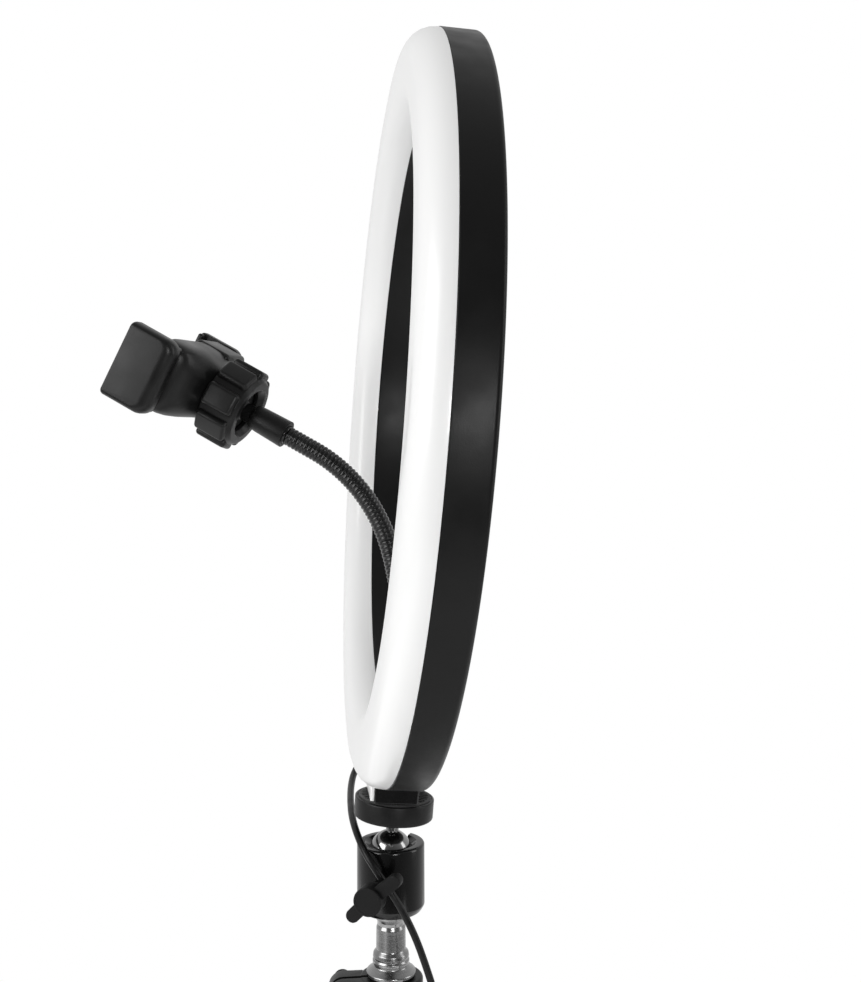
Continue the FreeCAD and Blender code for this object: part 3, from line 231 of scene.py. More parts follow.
def tube_object(name, path, radius, sides=24):
    """Tube along points in metres. radius is a function of the distance along it, in metres."""
    bm = bmesh.new()
    tangents = []
    for i in range(len(path)):
        a = path[max(i - 1, 0)]
        b = path[min(i + 1, len(path) - 1)]
        tangents.append((b - a).normalized())
    side = tangents[0].orthogonal().normalized()
    rings = []
    run = 0
    for i, point in enumerate(path):
        if i:
            run += (point - path[i - 1]).length
            side = (side - tangents[i] * side.dot(tangents[i])).normalized()
        other = tangents[i].cross(side)
        r = radius(run)
        rings.append([bm.verts.new(point + (side * math.cos(2 * math.pi * k / sides)
                                            + other * math.sin(2 * math.pi * k / sides)) * r)
                      for k in range(sides)])
    add_skin(bm, rings)
    bmesh.ops.scale(bm, vec=(1 / MM, 1 / MM, 1 / MM), verts=bm.verts)
    return finish_mesh(bm, name, Matrix.Identity(4), 60)


# --- Materials ------------------------------------------------------------------------------------


def map_range(tree, source, first, last, low, high):
    """Node that takes first…last to low…high."""
    remap = tree.nodes.new("ShaderNodeMapRange")
    for socket, value in (("From Min", first), ("From Max", last), ("To Min", low), ("To Max", high)):
        remap.inputs[socket].default_value = value
    tree.links.new(source, remap.inputs["Value"])
    return remap.outputs["Result"]


class Shader:
    """A principled material with a few procedural layers."""

    def __init__(self, name, colour, rough, metal=0.0, coat=0.0, sheen=0.0):
        self.material = bpy.data.materials.new(name)
        self.material.use_nodes = True
        self.tree = self.material.node_tree
        self.bsdf = self.tree.nodes["Principled BSDF"]
        self.bsdf.inputs["Base Color"].default_value = (*colour, 1)
        self.bsdf.inputs["Roughness"].default_value = rough
        self.bsdf.inputs["Metallic"].default_value = metal
        self.bsdf.inputs["Coat Weight"].default_value = coat
        self.bsdf.inputs["Coat Roughness"].default_value = 0.08
        self.bsdf.inputs["Sheen Weight"].default_value = sheen
        self.coords = self.tree.nodes.new("ShaderNodeTexCoord")
        self.height = None

    def node(self, kind, **values):
        node = self.tree.nodes.new(kind)
        for key, value in values.items():
            setattr(node, key, value)
        return node

    def noise(self, scale, detail=4.0, stretch=(1, 1, 1)):
        mapping = self.node("ShaderNodeMapping")
        mapping.inputs["Scale"].default_value = stretch
        self.tree.links.new(self.coords.outputs["Object"], mapping.inputs["Vector"])
        noise = self.node("ShaderNodeTexNoise")
        noise.inputs["Scale"].default_value = scale
        noise.inputs["Detail"].default_value = detail
        self.tree.links.new(mapping.outputs["Vector"], noise.inputs["Vector"])
        return noise.outputs["Fac"]

    def spread(self, source, low, high):
        """Most of a noise lies between 0.3 and 0.7, so that part is spread from low to high."""
        return map_range(self.tree, source, 0.3, 0.7, low, high)

    def vary_rough(self, source, low, high):
        self.tree.links.new(self.spread(source, low, high), self.bsdf.inputs["Roughness"])

    def vary_colour(self, source, first, second):
        mix = self.node("ShaderNodeMix", data_type="RGBA")
        mix.inputs["A"].default_value = (*first, 1)
        mix.inputs["B"].default_value = (*second, 1)
        self.tree.links.new(self.spread(source, 0, 1), mix.inputs["Factor"])
        self.tree.links.new(mix.outputs["Result"], self.bsdf.inputs["Base Color"])

    def bump(self, source, strength, depth):
        bump = self.node("ShaderNodeBump")
        bump.inputs["Strength"].default_value = strength
        bump.inputs["Distance"].default_value = depth
        self.tree.links.new(source, bump.inputs["Height"])
        if self.height:
            self.tree.links.new(self.height, bump.inputs["Normal"])
        self.height = bump.outputs["Normal"]
        self.tree.links.new(self.height, self.bsdf.inputs["Normal"])


def grey(value, warm=0.0):
    return (value * (1 + warm), value, value * (1 - warm))


def moulded(name, level, rough, grain, depth, gloss_level=0.4):
    """Moulded plastic with an eroded surface."""
    s = Shader(name, grey(level), rough)
    s.bsdf.inputs["Specular IOR Level"].default_value = gloss_level
    s.vary_rough(s.noise(90), rough - 0.05, rough + 0.06)
    s.vary_colour(s.noise(35), grey(level * 0.88), grey(level * 1.15))
    s.bump(s.noise(grain, 2), 0.35, depth)
    return s.material


def powder_coat():
    s = Shader("powder coat", grey(0.012), 0.42)
    s.vary_rough(s.noise(60), 0.36, 0.5)
    s.vary_colour(s.noise(20), grey(0.010), grey(0.014))
    s.bump(s.noise(900, 3), 0.25, 0.00012)
    return s.material


def anodised():
    s = Shader("black anodised", grey(0.007), 0.34, metal=0.1)
    s.bsdf.inputs["Specular IOR Level"].default_value = 0.3
    s.vary_rough(s.noise(300, 3, (1, 1, 12)), 0.28, 0.42)
    s.vary_colour(s.noise(40), grey(0.006), grey(0.009))
    s.bump(s.noise(500, 2, (1, 1, 18)), 0.08, 0.00004)
    return s.material


def hose_finish():
    s = Shader("black hose", grey(0.005), 0.2)
    s.vary_rough(s.noise(400), 0.14, 0.26)
    s.vary_colour(s.noise(120), grey(0.005), grey(0.008))
    s.bump(s.noise(1500, 2), 0.1, 0.00004)
    return s.material


def gloss():
    s = Shader("gloss black", grey(0.004), 0.13)
    s.vary_rough(s.noise(120), 0.09, 0.17)
    s.vary_colour(s.noise(50), grey(0.0035), grey(0.005))
    s.bump(s.noise(160, 2), 0.05, 0.00006)
    return s.material


def turned_steel():
    """Bright steel with fine turning rings."""
    s = Shader("turned steel", grey(0.33), 0.22, metal=1.0)
    s.vary_rough(s.noise(90, 3, (1, 1, 30)), 0.2, 0.3)
    s.vary_colour(s.noise(60, 3, (1, 1, 10)), grey(0.29), grey(0.37))
    s.bump(s.noise(200, 2, (0.2, 0.2, 14)), 0.06, 0.00003)
    return s.material


def chrome():
    s = Shader("chrome", grey(0.5), 0.14, metal=1.0)
    s.vary_rough(s.noise(250), 0.10, 0.2)
    s.vary_colour(s.noise(90), grey(0.30), grey(0.38))
    return s.material


def zinc():
    s = Shader("zinc plate", grey(0.5), 0.36, metal=1.0)
    s.vary_rough(s.noise(300), 0.28, 0.46)
    s.vary_colour(s.noise(200), grey(0.42), grey(0.56, 0.01))
    return s.material


def rubber(name, level):
    s = Shader(name, grey(level), 0.72, sheen=0.15)
    s.vary_rough(s.noise(80), 0.64, 0.82)
    s.vary_colour(s.noise(50), grey(level * 0.85), grey(level * 1.2))
    s.bump(s.noise(1400, 3), 0.3, 0.00008)
    return s.material


def pvc():
    s = Shader("black PVC", grey(0.004), 0.34)
    s.bsdf.inputs["Specular IOR Level"].default_value = 0.28
    s.vary_rough(s.noise(200), 0.28, 0.4)
    s.vary_colour(s.noise(60), grey(0.0035), grey(0.005))
    s.bump(s.noise(900, 2), 0.08, 0.00003)
    return s.material


def opal():
    s = Shader("opal", (0.90, 0.90, 0.895), 0.3, coat=0.25)
    s.vary_rough(s.noise(20, 2), 0.29, 0.33)
    s.vary_colour(s.noise(8, 2), (0.905, 0.905, 0.90), (0.915, 0.915, 0.91))
    return s.material


def board(name, first, second):
    s = Shader(name, first, 0.35, coat=0.3)
    s.vary_rough(s.noise(200), 0.3, 0.42)
    s.vary_colour(s.noise(80), first, second)
    return s.material


finish = {
    "housing": moulded("housing plastic", 0.0055, 0.38, 2200, 0.00006, 0.2),
    "holder": moulded("holder plastic", 0.007, 0.34, 2000, 0.00005, 0.3),
    "collar": moulded("collar plastic", 0.008, 0.36, 1600, 0.00005, 0.32),
    "knob": moulded("knob plastic", 0.007, 0.55, 1800, 0.00006, 0.2),
    "nylon": moulded("nylon", 0.55, 0.5, 900, 0.00005),
    "gloss": gloss(),
    "powder": powder_coat(),
    "anodised": anodised(),
    "hose": hose_finish(),
    "steel": turned_steel(),
    "chrome": chrome(),
    "zinc": zinc(),
    "rubber": rubber("black rubber", 0.014),
    "pad": rubber("grey rubber", 0.022),
    "pvc": pvc(),
    "opal": opal(),
    "board": board("white board", (0.8, 0.82, 0.8), (0.72, 0.75, 0.72)),
    "green": board("green board", (0.02, 0.12, 0.05), (0.03, 0.16, 0.06)),
    "chips": board("chips", (0.9, 0.78, 0.35), (0.85, 0.7, 0.28)),
}

node_finish = {
    "main_tube": "powder", "mid_tube": "powder", "top_tube": "powder", "mid_bush": "nylon",
    "top_bush": "nylon", "hub": "collar", "slider": "collar", "slider_knob": "knob",
    "collar_lower": "collar", "collar_upper": "collar", "collar_lower_knob": "knob",
    "collar_upper_knob": "knob", "spigot": "steel", "head_body": "gloss", "ball_cup": "nylon",
    "wing_knob": "knob", "ball_stem": "chrome", "platform_disc": "anodised", "platform_pad": "pad",
    "rear_housing": "housing", "diffuser": "opal", "led_board": "board", "leds": "chips",
    "housing_screws": "zinc", "mounting_foot": "housing", "cord_grommet": "rubber",
    "gooseneck_base": "anodised", "hose_lower": "hose", "hose_middle": "hose", "hose_upper": "hose",
    "ball_stud": "anodised", "lock_nut": "holder", "friction_cup": "holder", "holder_body": "holder",
    "moving_jaw": "holder", "jaw_spring": "zinc", "fixed_pad": "rubber", "moving_pad": "rubber",
    "light_cord": "pvc", "controller_lead": "pvc", "cord_coil": "pvc", "plug_lead": "pvc",
    "plug_grip": "gloss", "plug_shell": "zinc", "controller_case": "gloss", "controller_board": "green",
    "power_button": "pad", "brightness_rocker": "pad",
}
for i in (1, 2, 3):
    node_finish.update({"leg_%d" % i: "powder", "leg_clip_%d" % i: "collar", "foot_%d" % i: "rubber",
                        "strut_%d" % i: "powder"})
for name, obj in frame["nodes"].items():
    chosen = finish[node_finish[name]]
    if not obj.material_slots:
        obj.data.materials.append(chosen)
    for material_slot in obj.material_slots:
        material_slot.material = chosen


def stands_for(obj, look, body, *nodes):
    """Give a piece its material, its body and the CAD nodes that it shows."""
    obj.data.materials.clear()
    obj.data.materials.append(finish[look])
    if body:
        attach(obj, body)
    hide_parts(*nodes)


def goes_with(obj, look, body):
    """The same for a piece that replaces no node."""
    obj.data.materials.append(finish[look])
    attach(obj, body)


# --- Ring -----------------------------------------------------------------------------------------

R, RI, D = 130.0, 102.2, 13.6       # outer and inner radius, depth of the rear housing
WALL = 1.4
SCREW_R = 114.4                     # circle of the six screws

groove = [(R - 9, D, 0), (R - 9.4, D - 0.35, 0), (R - 10.2, D - 0.35, 0), (R - 10.6, D, 0),
          (RI + 10.6, D, 0), (RI + 10.2, D - 0.35, 0), (RI + 9.4, D - 0.35, 0), (RI + 9, D, 0)]
shell = lathe_object("ring_housing", ring, [
    (R, 0.5, 0.3), (R, D, 1.8), *groove, (RI, D, 1.8), (RI, 0.5, 0.3), (RI + WALL, 0.5, 0),
    (RI + WALL, D - WALL, 0), (R - WALL, D - WALL, 0), (R - WALL, 0.5, 0)], 256, sharp=30)
holes = []
for i in range(6):
    a = math.radians(60 * (i + 0.5))
    spot = Matrix.Translation((SCREW_R * math.cos(a), SCREW_R * math.sin(a), 0))
    holes.append(lathe_object("hole", ring, [(0, D - 0.7), (2.7, D - 0.7), (2.7, D + 2), (0, D + 2)], 32, spot))
cut(shell, holes)
stands_for(shell, "housing", "light", "rear_housing")

cover = lathe_object("diffuser_cover", ring, [
    (RI + 0.15, 0.35, 0), (RI + 0.15, -9.6, 9.2), (R - 0.2, -9.6, 9.2), (R - 0.2, 0.35, 0), (R - 1.5, 0.35, 0),
    (R - 1.5, 2.4, 0), (R - 2.2, 2.4, 0), (R - 2.2, -7.6, 7.4), (RI + 2.2, -7.6, 7.4), (RI + 2.2, 2.4, 0),
    (RI + 1.5, 2.4, 0), (RI + 1.5, 0.35, 0)], 256, sharp=50)
stands_for(cover, "opal", "light", "diffuser")

FOOT_LOW = 21.0
FOOT_HIGH = 30.2        # inside the ring's wall, which trims it
INSERT_TOP = 27.2


def ring_wall():
    """What the ring's wall takes away from the foot."""
    return lathe_object("wall", ring, [(0, -40), (R - 0.3, -40), (R - 0.3, 40), (0, 40)], 256)


bm = bmesh.new()
outline = []
for cx, cy, a0 in ((12.4, 6.5, 0), (-12.4, 6.5, 90), (-12.4, -8.0, 180), (12.4, -8.0, 270)):
    for k in range(6):
        a = math.radians(a0 + 18 * k)
        outline.append((cx + 0.6 * math.cos(a), cy + 0.6 * math.sin(a)))
add_plate(bm, outline, FOOT_LOW, FOOT_HIGH, 0.4)
foot = finish_mesh(bm, "ring_foot", head, 30)
bore = lathe_object("bore", head, [(0, 20), (4.6, 20), (4.6, INSERT_TOP), (0, INSERT_TOP)], 48)
cut(foot, [bore, ring_wall()])
stands_for(foot, "gloss", "light", "mounting_foot")
insert = lathe_object("thread_insert", head, [(3.2, FOOT_LOW, 0.3), (4.6, FOOT_LOW, 0.2), (4.6, INSERT_TOP, 0),
                                              (3.2, INSERT_TOP, 0)], 48)
goes_with(insert, "zinc", "light")
# painted reflection: a thin white opal slab over the foot's front face stands in for the white studio mirrored
# by the glossy black face at a grazing angle
bm = bmesh.new()
add_block(bm, (-11.4, -9.8, FOOT_LOW + 0.3), (11.4, -7.9, FOOT_HIGH), 0.3, 3)
foot_cap = finish_mesh(bm, "foot_cap", head, 30)
cut(foot_cap, [ring_wall()])
goes_with(foot_cap, "opal", "light")

# --- Ball head ------------------------------------------------------------------------------------

DISC_LOW, DISC_HIGH = 12.7, 20.0      # above the ball's centre
disc = lathe_object("head_disc", head, [
    (3.2, DISC_LOW, 0.3), (14.3, DISC_LOW, 0.7), (14.3, DISC_HIGH, 0.5), (13.5, DISC_HIGH, 0),
    (13.3, DISC_HIGH - 0.2, 0), (3.2, DISC_HIGH - 0.2, 0)], 128, sharp=30)
stands_for(disc, "anodised", "disc", "platform_disc")

bm = bmesh.new()
add_lathe(bm, [(5, 19.85, 0), (13.0, 19.85, 0), (13.0, 20.45, 0.3), (5, 20.45, 0.2)], 96)
for i in range(18):
    turn = Matrix.Rotation(math.radians(20 * i + 4), 4, "Z")
    for side in (-1, 1):
        lean = Matrix.Translation((9.6, side * 0.75, 0)) @ Matrix.Rotation(math.radians(side * 14), 4, "Z")
        add_block(bm, (-2.5, -0.33, 20.3), (2.5, 0.33, 20.9), 0.2, 2, at=turn @ lean)
stands_for(finish_mesh(bm, "grip_pad", head, 30), "pad", "disc", "platform_pad")

body = lathe_object("head_shell", column, [
    (0, -22, 0), (10.9, -22, 1.6), (12.3, -19.6, 2.2), (12.2, 3.2, 0.9), (9.3, 3.2, 0.35), (7.4, 1.6, 0.2),
    (7.75, 0, 0), (7.75, -14.2, 0), (0, -14.2, 0)], 128, sharp=30)
notch = block_object("notch", column @ Matrix.Rotation(math.radians(60), 4, "Z"), (-3, 3, -1), (3, 20, 22))
side_hole = lathe_object("side_hole", knob, [(0, 4), (2.5, 4), (2.5, 20), (0, 20)], 40)
cut(body, [notch, side_hole])
stands_for(body, "gloss", "top_column", "head_body")

BALL_R = 7.6
profile = [(0, -BALL_R)]
for k in range(1, 30):
    a = math.radians(-90 + 180 * k / 32)
    profile.append((BALL_R * math.cos(a), BALL_R * math.sin(a)))
profile += [(2.3, 7.4, 0.3), (2.3, 13.4, 0), (3.1, 13.4, 0), (3.1, 26.6, 0.4), (0, 26.6)]
stem = lathe_object("ball_and_stem", head, profile, 96, sharp=30)
flats = [block_object("flat", head, (-4, y, 8.6), (4, y + 2, 12.8)) for y in (-4, 2)]
cut(stem, flats)
stands_for(stem, "chrome", "ball_stem", "ball_stem")

F = -46.5               # underside of the spigot's flange
spigot = lathe_object("turned_spigot", column, [
    (0, F - 26, 0), (7, F - 26, 0), (7, F, 0), (8.4, F, 0.3), (9.0, F + 0.6, 0.4), (9.0, F + 1.7, 0.6),
    (7.6, F + 2.8, 0.8), (6.4, F + 3.9, 0.6), (6.7, F + 5.0, 0.5), (6.7, F + 5.9, 0.4), (6.3, F + 6.5, 0.3),
    (6.6, F + 7.2, 0.4), (6.4, F + 8.6, 0.6), (5.4, F + 9.8, 0.8), (5.3, F + 18.0, 0.5), (4.9, F + 19.2, 0.5),
    (5.0, F + 20.4, 0.6), (5.7, F + 21.8, 0.4), (5.8, F + 24.5, 0), (3.1, F + 24.5, 0), (3.1, F + 30.5, 0),
    (0, F + 30.5, 0)], sharp=30)
stands_for(spigot, "steel", "top_column", "spigot")

# screw, neck and hub along the knob's axis, then its two wings: end of each, and half-width
HUB_LOW, HUB_HIGH, HUB_R = 18.2, 24.4, 5.15
bm = bmesh.new()
add_lathe(bm, [(0, 8.2), (2.4, 8.2, 0.3), (2.4, 12.8, 0), (3.3, 12.8, 0.3), (3.3, HUB_LOW, 0),
               (HUB_R, HUB_LOW, 0.5), (HUB_R, HUB_HIGH, 0.45), (4.3, HUB_HIGH, 0.1),
               (4.2, HUB_HIGH - 0.1, 0), (0, HUB_HIGH - 0.1)])
for x, y, half in ((-6.3, -6.4, 2.45), (9.1, 7.6, 2.4)):
    wing = []
    for cx, a0 in ((math.hypot(x, y), -90), (0, 90)):
        for k in range(13):
            a = math.radians(a0 + 15 * k)
            wing.append((cx + half * math.cos(a), half * math.sin(a)))
    add_plate(bm, wing, HUB_LOW + 0.4, HUB_HIGH - 1.8, 0.6, at=Matrix.Rotation(math.atan2(y, x), 4, "Z"))
stands_for(finish_mesh(bm, "wing_screw", knob, 32), "knob", "wing_knob", "wing_knob")

# --- Clamp collars --------------------------------------------------------------------------------


def clamp_collar(name, top, fixed_r, run_r, body, node):
    """Barrel with a split lug and a nut in its side. top is the collar's top, in millimetres from the ball."""
    low = top - 33
    outer = fixed_r + 2.2
    slack = run_r + 0.1
    barrel = lathe_object(name, column, [
        (outer, low, 0.6), (outer, low + 3, 0), (outer - 0.35, low + 3.4, 0), (outer - 0.35, low + 4.4, 0),
        (outer, low + 4.8, 0), (outer, top, 1.2), (slack, top, 0.4), (slack, top - 7, 0),
        (fixed_r, top - 7, 0), (fixed_r, low, 0.3)], sharp=32)
    outline = []
    for height, a0 in ((top - 5.2, 180), (top - 13, 270)):
        for k in range(8):
            a = math.radians(a0 + 90 * k / 7)
            outline.append((-height + 5 * math.cos(a), -17.5 + 5 * math.sin(a)))
    outline += [(-(top - 18), -run_r - 2), (-(top - 0.2), -run_r - 2)]
    sideways = Matrix.Rotation(math.radians(90), 4, "Y")
    bolt = Matrix.Translation((0, -17, top - 7.5)) @ sideways
    bm = bmesh.new()
    add_plate(bm, outline, -6.5, 6.5, 0.9, at=sideways)
    lug = finish_mesh(bm, "lug", column, 32)
    split = block_object("split", column, (-0.8, -30, low - 1), (0.8, -run_r + 1, top + 1))
    pocket = lathe_object("pocket", column, [(0, 4.4), (4.75, 4.4), (4.75, 12), (0, 12)], 6, bolt)
    bolt_hole = lathe_object("bolt_hole", column, [(0, -12), (2.6, -12), (2.6, 12), (0, 12)], 32, bolt)
    inside = lathe_object("inside", column, [(0, low - 2), (fixed_r, low - 2), (fixed_r, top - 7),
                                             (slack, top - 7), (slack, top + 2), (0, top + 2)])
    both = barrel.modifiers.new("join", "BOOLEAN")
    both.object = lug
    both.operation = "UNION"
    both.solver = "EXACT"
    settle(barrel)
    bpy.data.objects.remove(lug, do_unlink=True)
    cut(barrel, [inside, split, bolt_hole, pocket])
    stands_for(barrel, "collar", body, node)
    nut = lathe_object(name + "_nut", column, [(2.6, 4.45, 0.2), (4.5, 4.45, 0.2), (4.5, 6.4, 0.4),
                                               (2.6, 6.4, 0.2)], 6, bolt, 20)
    goes_with(nut, "zinc", body)


clamp_collar("top_collar", -46.8, 9.5, 8.0, "mid_column", "collar_upper")
clamp_collar("low_collar", -82.8, 11.0, 9.5, "stand", "collar_lower")

# --- Gooseneck ------------------------------------------------------------------------------------

hose_heading = Vector((-math.sin(math.radians(20)), -math.cos(math.radians(20)), 0))
hose_foot = Vector((0, -1.2, RING_UP - RI)) * MM         # on the ring's inner wall
hose_place = head @ axes(hose_heading, Z.cross(hose_heading), Z, hose_foot)


def hose_points():
    """Centre line, in metres, from the base to the crimped sleeve, a point each 0.16 mm."""
    at = Vector((0, 9.0))
    angle = 0.0
    step = 0.16
    out = [at.copy()]
    for length, radius in ((5.0, None), (115 * math.radians(20), 115), (58 * math.radians(46), 58),
                           (13.6, None)):
        count = round(length / step)
        for _ in range(count):
            run = length / count
            if radius:
                angle += run / radius
            at = at + Vector((math.sin(angle), math.cos(angle))) * run
            out.append(at.copy())
    return [hose_place @ Vector((p.x * MM, 0, p.y * MM)) for p in out]


line = hose_points()
middle = min(range(len(line)), key=lambda i: (line[i] - (bend_1 + bend_2) / 2).length)
RIB_PITCH = 1.55 * MM


def ribs(offset):
    def radius(run):
        wave = 0.5 + 0.5 * math.cos(2 * math.pi * (run + offset) / RIB_PITCH)
        return (3.12 + 0.38 * wave ** 0.45) * MM
    return radius


length_a = sum((b - a).length for a, b in zip(line[:middle], line[1:middle + 1]))
hose_a = tube_object("gooseneck_lower", line[:middle + 1], ribs(0), 32)
hose_b = tube_object("gooseneck_upper", line[middle:], ribs(length_a), 32)
for piece, nodes, a, b, pivot in ((hose_a, ("hose_lower", "hose_middle"), "hose_lower", "hose_middle", bend_1),
                                  (hose_b, ("hose_upper",), "hose_middle", "hose_upper", bend_2)):
    stands_for(piece, "hose", None, *nodes)
    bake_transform(piece)

hex_base = bmesh.new()
add_lathe(hex_base, [(2.6, 0.3, 0), (6.0, 0.3, 0.2), (6.0, 5.8, 0.5), (4.4, 5.8, 0), (4.4, 8.9, 0.5),
                     (2.6, 8.9, 0)], 6)
add_lathe(hex_base, [(3.0, 5.6, 0), (4.6, 5.6, 0), (4.6, 8.9, 0.6), (3.0, 8.9, 0)], 64)
add_lathe(hex_base, [(0, -1.8, 0), (3.0, -1.8, 0.2), (3.0, 0.4, 0), (0, 0.4, 0)], 48)
stands_for(finish_mesh(hex_base, "gooseneck_foot", head @ Matrix.Translation(hose_foot), 25),
           "anodised", "light", "gooseneck_base")

# --- Phone holder ---------------------------------------------------------------------------------

profile = [(3.55, -23.0, 0.3), (5.1, -23.0, 0.25), (4.75, -12.0, 0), (4.5, -9.0, 0.9), (3.4, -8.4, 0.3),
           (3.4, -5.3, 0.4)]
for k in range(22):
    a = math.radians(-56 + 146 * k / 21)
    profile.append((6.0 * math.cos(a), 6.0 * math.sin(a)))
profile[-1] = (0, 6.0)
profile += [(0, -21.8), (3.55, -21.8)]
sleeve = lathe_object("ball_stud_sleeve", holder, profile, 72, sharp=35)
stands_for(sleeve, "anodised", "holder_stud", "ball_stud")

bm = bmesh.new()
add_lathe(bm, [(12.4, -7.0, 0.8), (13.6, -5.6, 0.8), (14.0, -2, 0), (14.0, 7, 0.7), (11.06, 7, 0.2),
               (11.06, -3.6, 0), (8.2, -3.6, 0.2), (8.2, -5, 0.3), (9.6, -7.0, 0.5)], 128)
for i in range(8):
    turn = Matrix.Rotation(math.radians(45 * i + 8), 4, "Z")
    add_block(bm, (11.2, -4.3, -5.6), (15.7, 4.3, 6.9), 1.4, 6, at=turn)
stands_for(finish_mesh(bm, "ribbed_nut", holder, 35), "holder", "lock_nut", "lock_nut")


def superellipse(half_x, half_y, power):
    """Oval outline: power 2 is an ellipse, and a higher one is nearer to a rectangle."""
    steps = 72
    out = []
    for k in range(steps):
        c, s = math.cos(2 * math.pi * k / steps), math.sin(2 * math.pi * k / steps)
        out.append((half_x * math.copysign(abs(c) ** (2 / power), c),
                    half_y * math.copysign(abs(s) ** (2 / power), s)))
    return out


# rows of the slide housing, from its face back to the socket: height, centre, half-sizes and squareness
bm = bmesh.new()
rows = []
for z, middle, half_x, half_y, power in (
        (24.4, -4.9, 28.3, 12.8, 9), (24.1, -4.9, 29.0, 13.5, 9), (21, -4.9, 29.1, 13.6, 9),
        (18, -4.8, 28.9, 13.5, 8), (16, -4.4, 28.0, 13.3, 6.5), (14.3, -3.6, 25.6, 12.8, 5.2),
        (12.8, -2.7, 22.4, 12.1, 4.3),
        (11.4, -1.8, 18.8, 11.4, 3.5), (10, -1.0, 15.6, 10.8, 2.9), (8.6, -0.3, 13.0, 10.3, 2.4),
        (7.2, 0, 11.3, 10.1, 2.1), (6.6, 0, 11.0, 10.0, 2.0)):
    rows.append([bm.verts.new((middle + x, y, z)) for x, y in superellipse(half_x, half_y, power)])
add_skin(bm, rows)
core = finish_mesh(bm, "holder_core", holder, 30)
bm = bmesh.new()
add_block(bm, (-27, -9.1, 17.4), (40, 9.1, 21.6), 0)
add_lathe(bm, [(0, 0), (7.7, 0), (7.7, 7.6), (0, 7.6)], 48)
cut(core, [finish_mesh(bm, "slot", holder)])
stands_for(core, "holder", "holder", "holder_body")


def jaw_face(bm, inner, outer):
    """Broad plate of a jaw: outline drawn in by each step's amount while going outwards, most at the back."""
    part = bmesh.new()
    way = 1 if outer > inner else -1
    rows = []
    for depth, inset in ((0, 0.5), (0.15, 0.15), (0.5, 0), (3.0, 0), (3.9, 0.15), (4.7, 0.5), (5.4, 1.05),
                         (5.9, 1.7), (6.25, 2.5), (6.45, 3.4), (6.5, 4.4)):
        half, back, front = 14.2 - 0.45 * inset, 15.5 + inset, 34.6 - 0.16 * inset
        outline = rounded([(-half, back, 5 - 0.5 * inset), (half, back, 5 - 0.5 * inset), (half, front, 1.2),
                           (-half, front, 1.2)], 8)
        rows.append([part.verts.new((inner + way * depth, p.x, p.y)) for p in outline])
    add_skin(part, rows)
    bmesh.ops.recalc_face_normals(part, faces=part.faces)
    add_part(bm, part)


bm = bmesh.new()
add_lathe(bm, [(7.7, -3.0, 0.3), (11.0, -3.0, 0.3), (11.0, 7.4, 0), (7.7, 7.4, 0)], 72)
jaw_face(bm, -27.5, -34)
add_block(bm, (-30, -13.6, 32.4), (-24.5, 13.6, 34.6), 0.9, 5)
add_block(bm, (-25, 10.2, 12.5), (-7, 14.0, 27.0), 1.7, 6)
goes_with(finish_mesh(bm, "holder_shell", holder, 35), "holder", "holder")

bm = bmesh.new()
jaw_face(bm, 27.5, 34)
add_block(bm, (24.5, -13.6, 32.6), (30, 13.6, 34.6), 0.9, 5)
add_block(bm, (24.5, -12.6, 16.6), (30, 12.6, 23), 1.2, 5)
add_block(bm, (-26, 3.2, 17.5), (27.6, 9, 21.5), 0.3, 2)
add_block(bm, (-26, -9, 17.5), (27.6, -3.2, 21.5), 0.3, 2)
add_block(bm, (16, -9, 17.5), (27.6, 9, 21.5), 0.3, 2)
stands_for(finish_mesh(bm, "slide_jaw", holder, 32), "holder", "jaw", "moving_jaw")

for name, x0, x1, body_name, node in (("left_pad", -27.6, -26.5, "holder", "fixed_pad"),
                                      ("right_pad", 26.5, 27.6, "jaw", "moving_pad")):
    bm = bmesh.new()
    add_block(bm, (x0, -11.5, 26.2), (x1, 11.5, 32.2), 0.3, 2)
    inner = -26 if x0 < 0 else 26
    for k in range(8):
        y = -10.1 + 2.9 * k
        low, high = sorted((inner, x0 + 0.4 if x0 > 0 else x1 - 0.4))
        add_block(bm, (low, y - 0.7, 26.4), (high, y + 0.7, 32.0), 0.3, 2)
    stands_for(finish_mesh(bm, name, holder, 30), "rubber", body_name, node)

SPRING_TURNS, SPRING_STEPS = 17, 16
spring_line = []
for k in range(SPRING_TURNS * SPRING_STEPS + 1):
    a = 2 * math.pi * k / SPRING_STEPS
    along = -26.3 + 41.6 * k / (SPRING_TURNS * SPRING_STEPS)
    spring_line.append(holder @ (Vector((along, 1.6 * math.cos(a), 19.5 + 1.6 * math.sin(a))) * MM))
coil_spring = tube_object("coil_spring", spring_line, lambda run: 0.3 * MM, 8)
stands_for(coil_spring, "zinc", "holder", "jaw_spring")

# --- Cord -----------------------------------------------------------------------------------------

DIA = 2.6 * MM
cord_way = head_axis * -math.cos(math.radians(22)) + X * -math.sin(math.radians(22))
cord_exit = head @ Vector((0, -0.8 * MM, RING_UP * MM)) + cord_way * 134 * MM
CASE_TURN = math.radians(25)
case_way = Vector((math.cos(CASE_TURN), math.sin(CASE_TURN), 0))
rocker = joints["brightness_rock"]["pos_m"]
controller = Vector((rocker[0] - 8 * MM * math.cos(CASE_TURN), rocker[1] - 8 * MM * math.sin(CASE_TURN),
                     4.6 * MM))
case_end = case_way * 36 * MM


def from_ball(x, y, z):
    return ball + Vector((x, y, z)) * MM


def from_floor(x, y, z):
    return Vector((x * MM, ball.y + y * MM, z * MM))


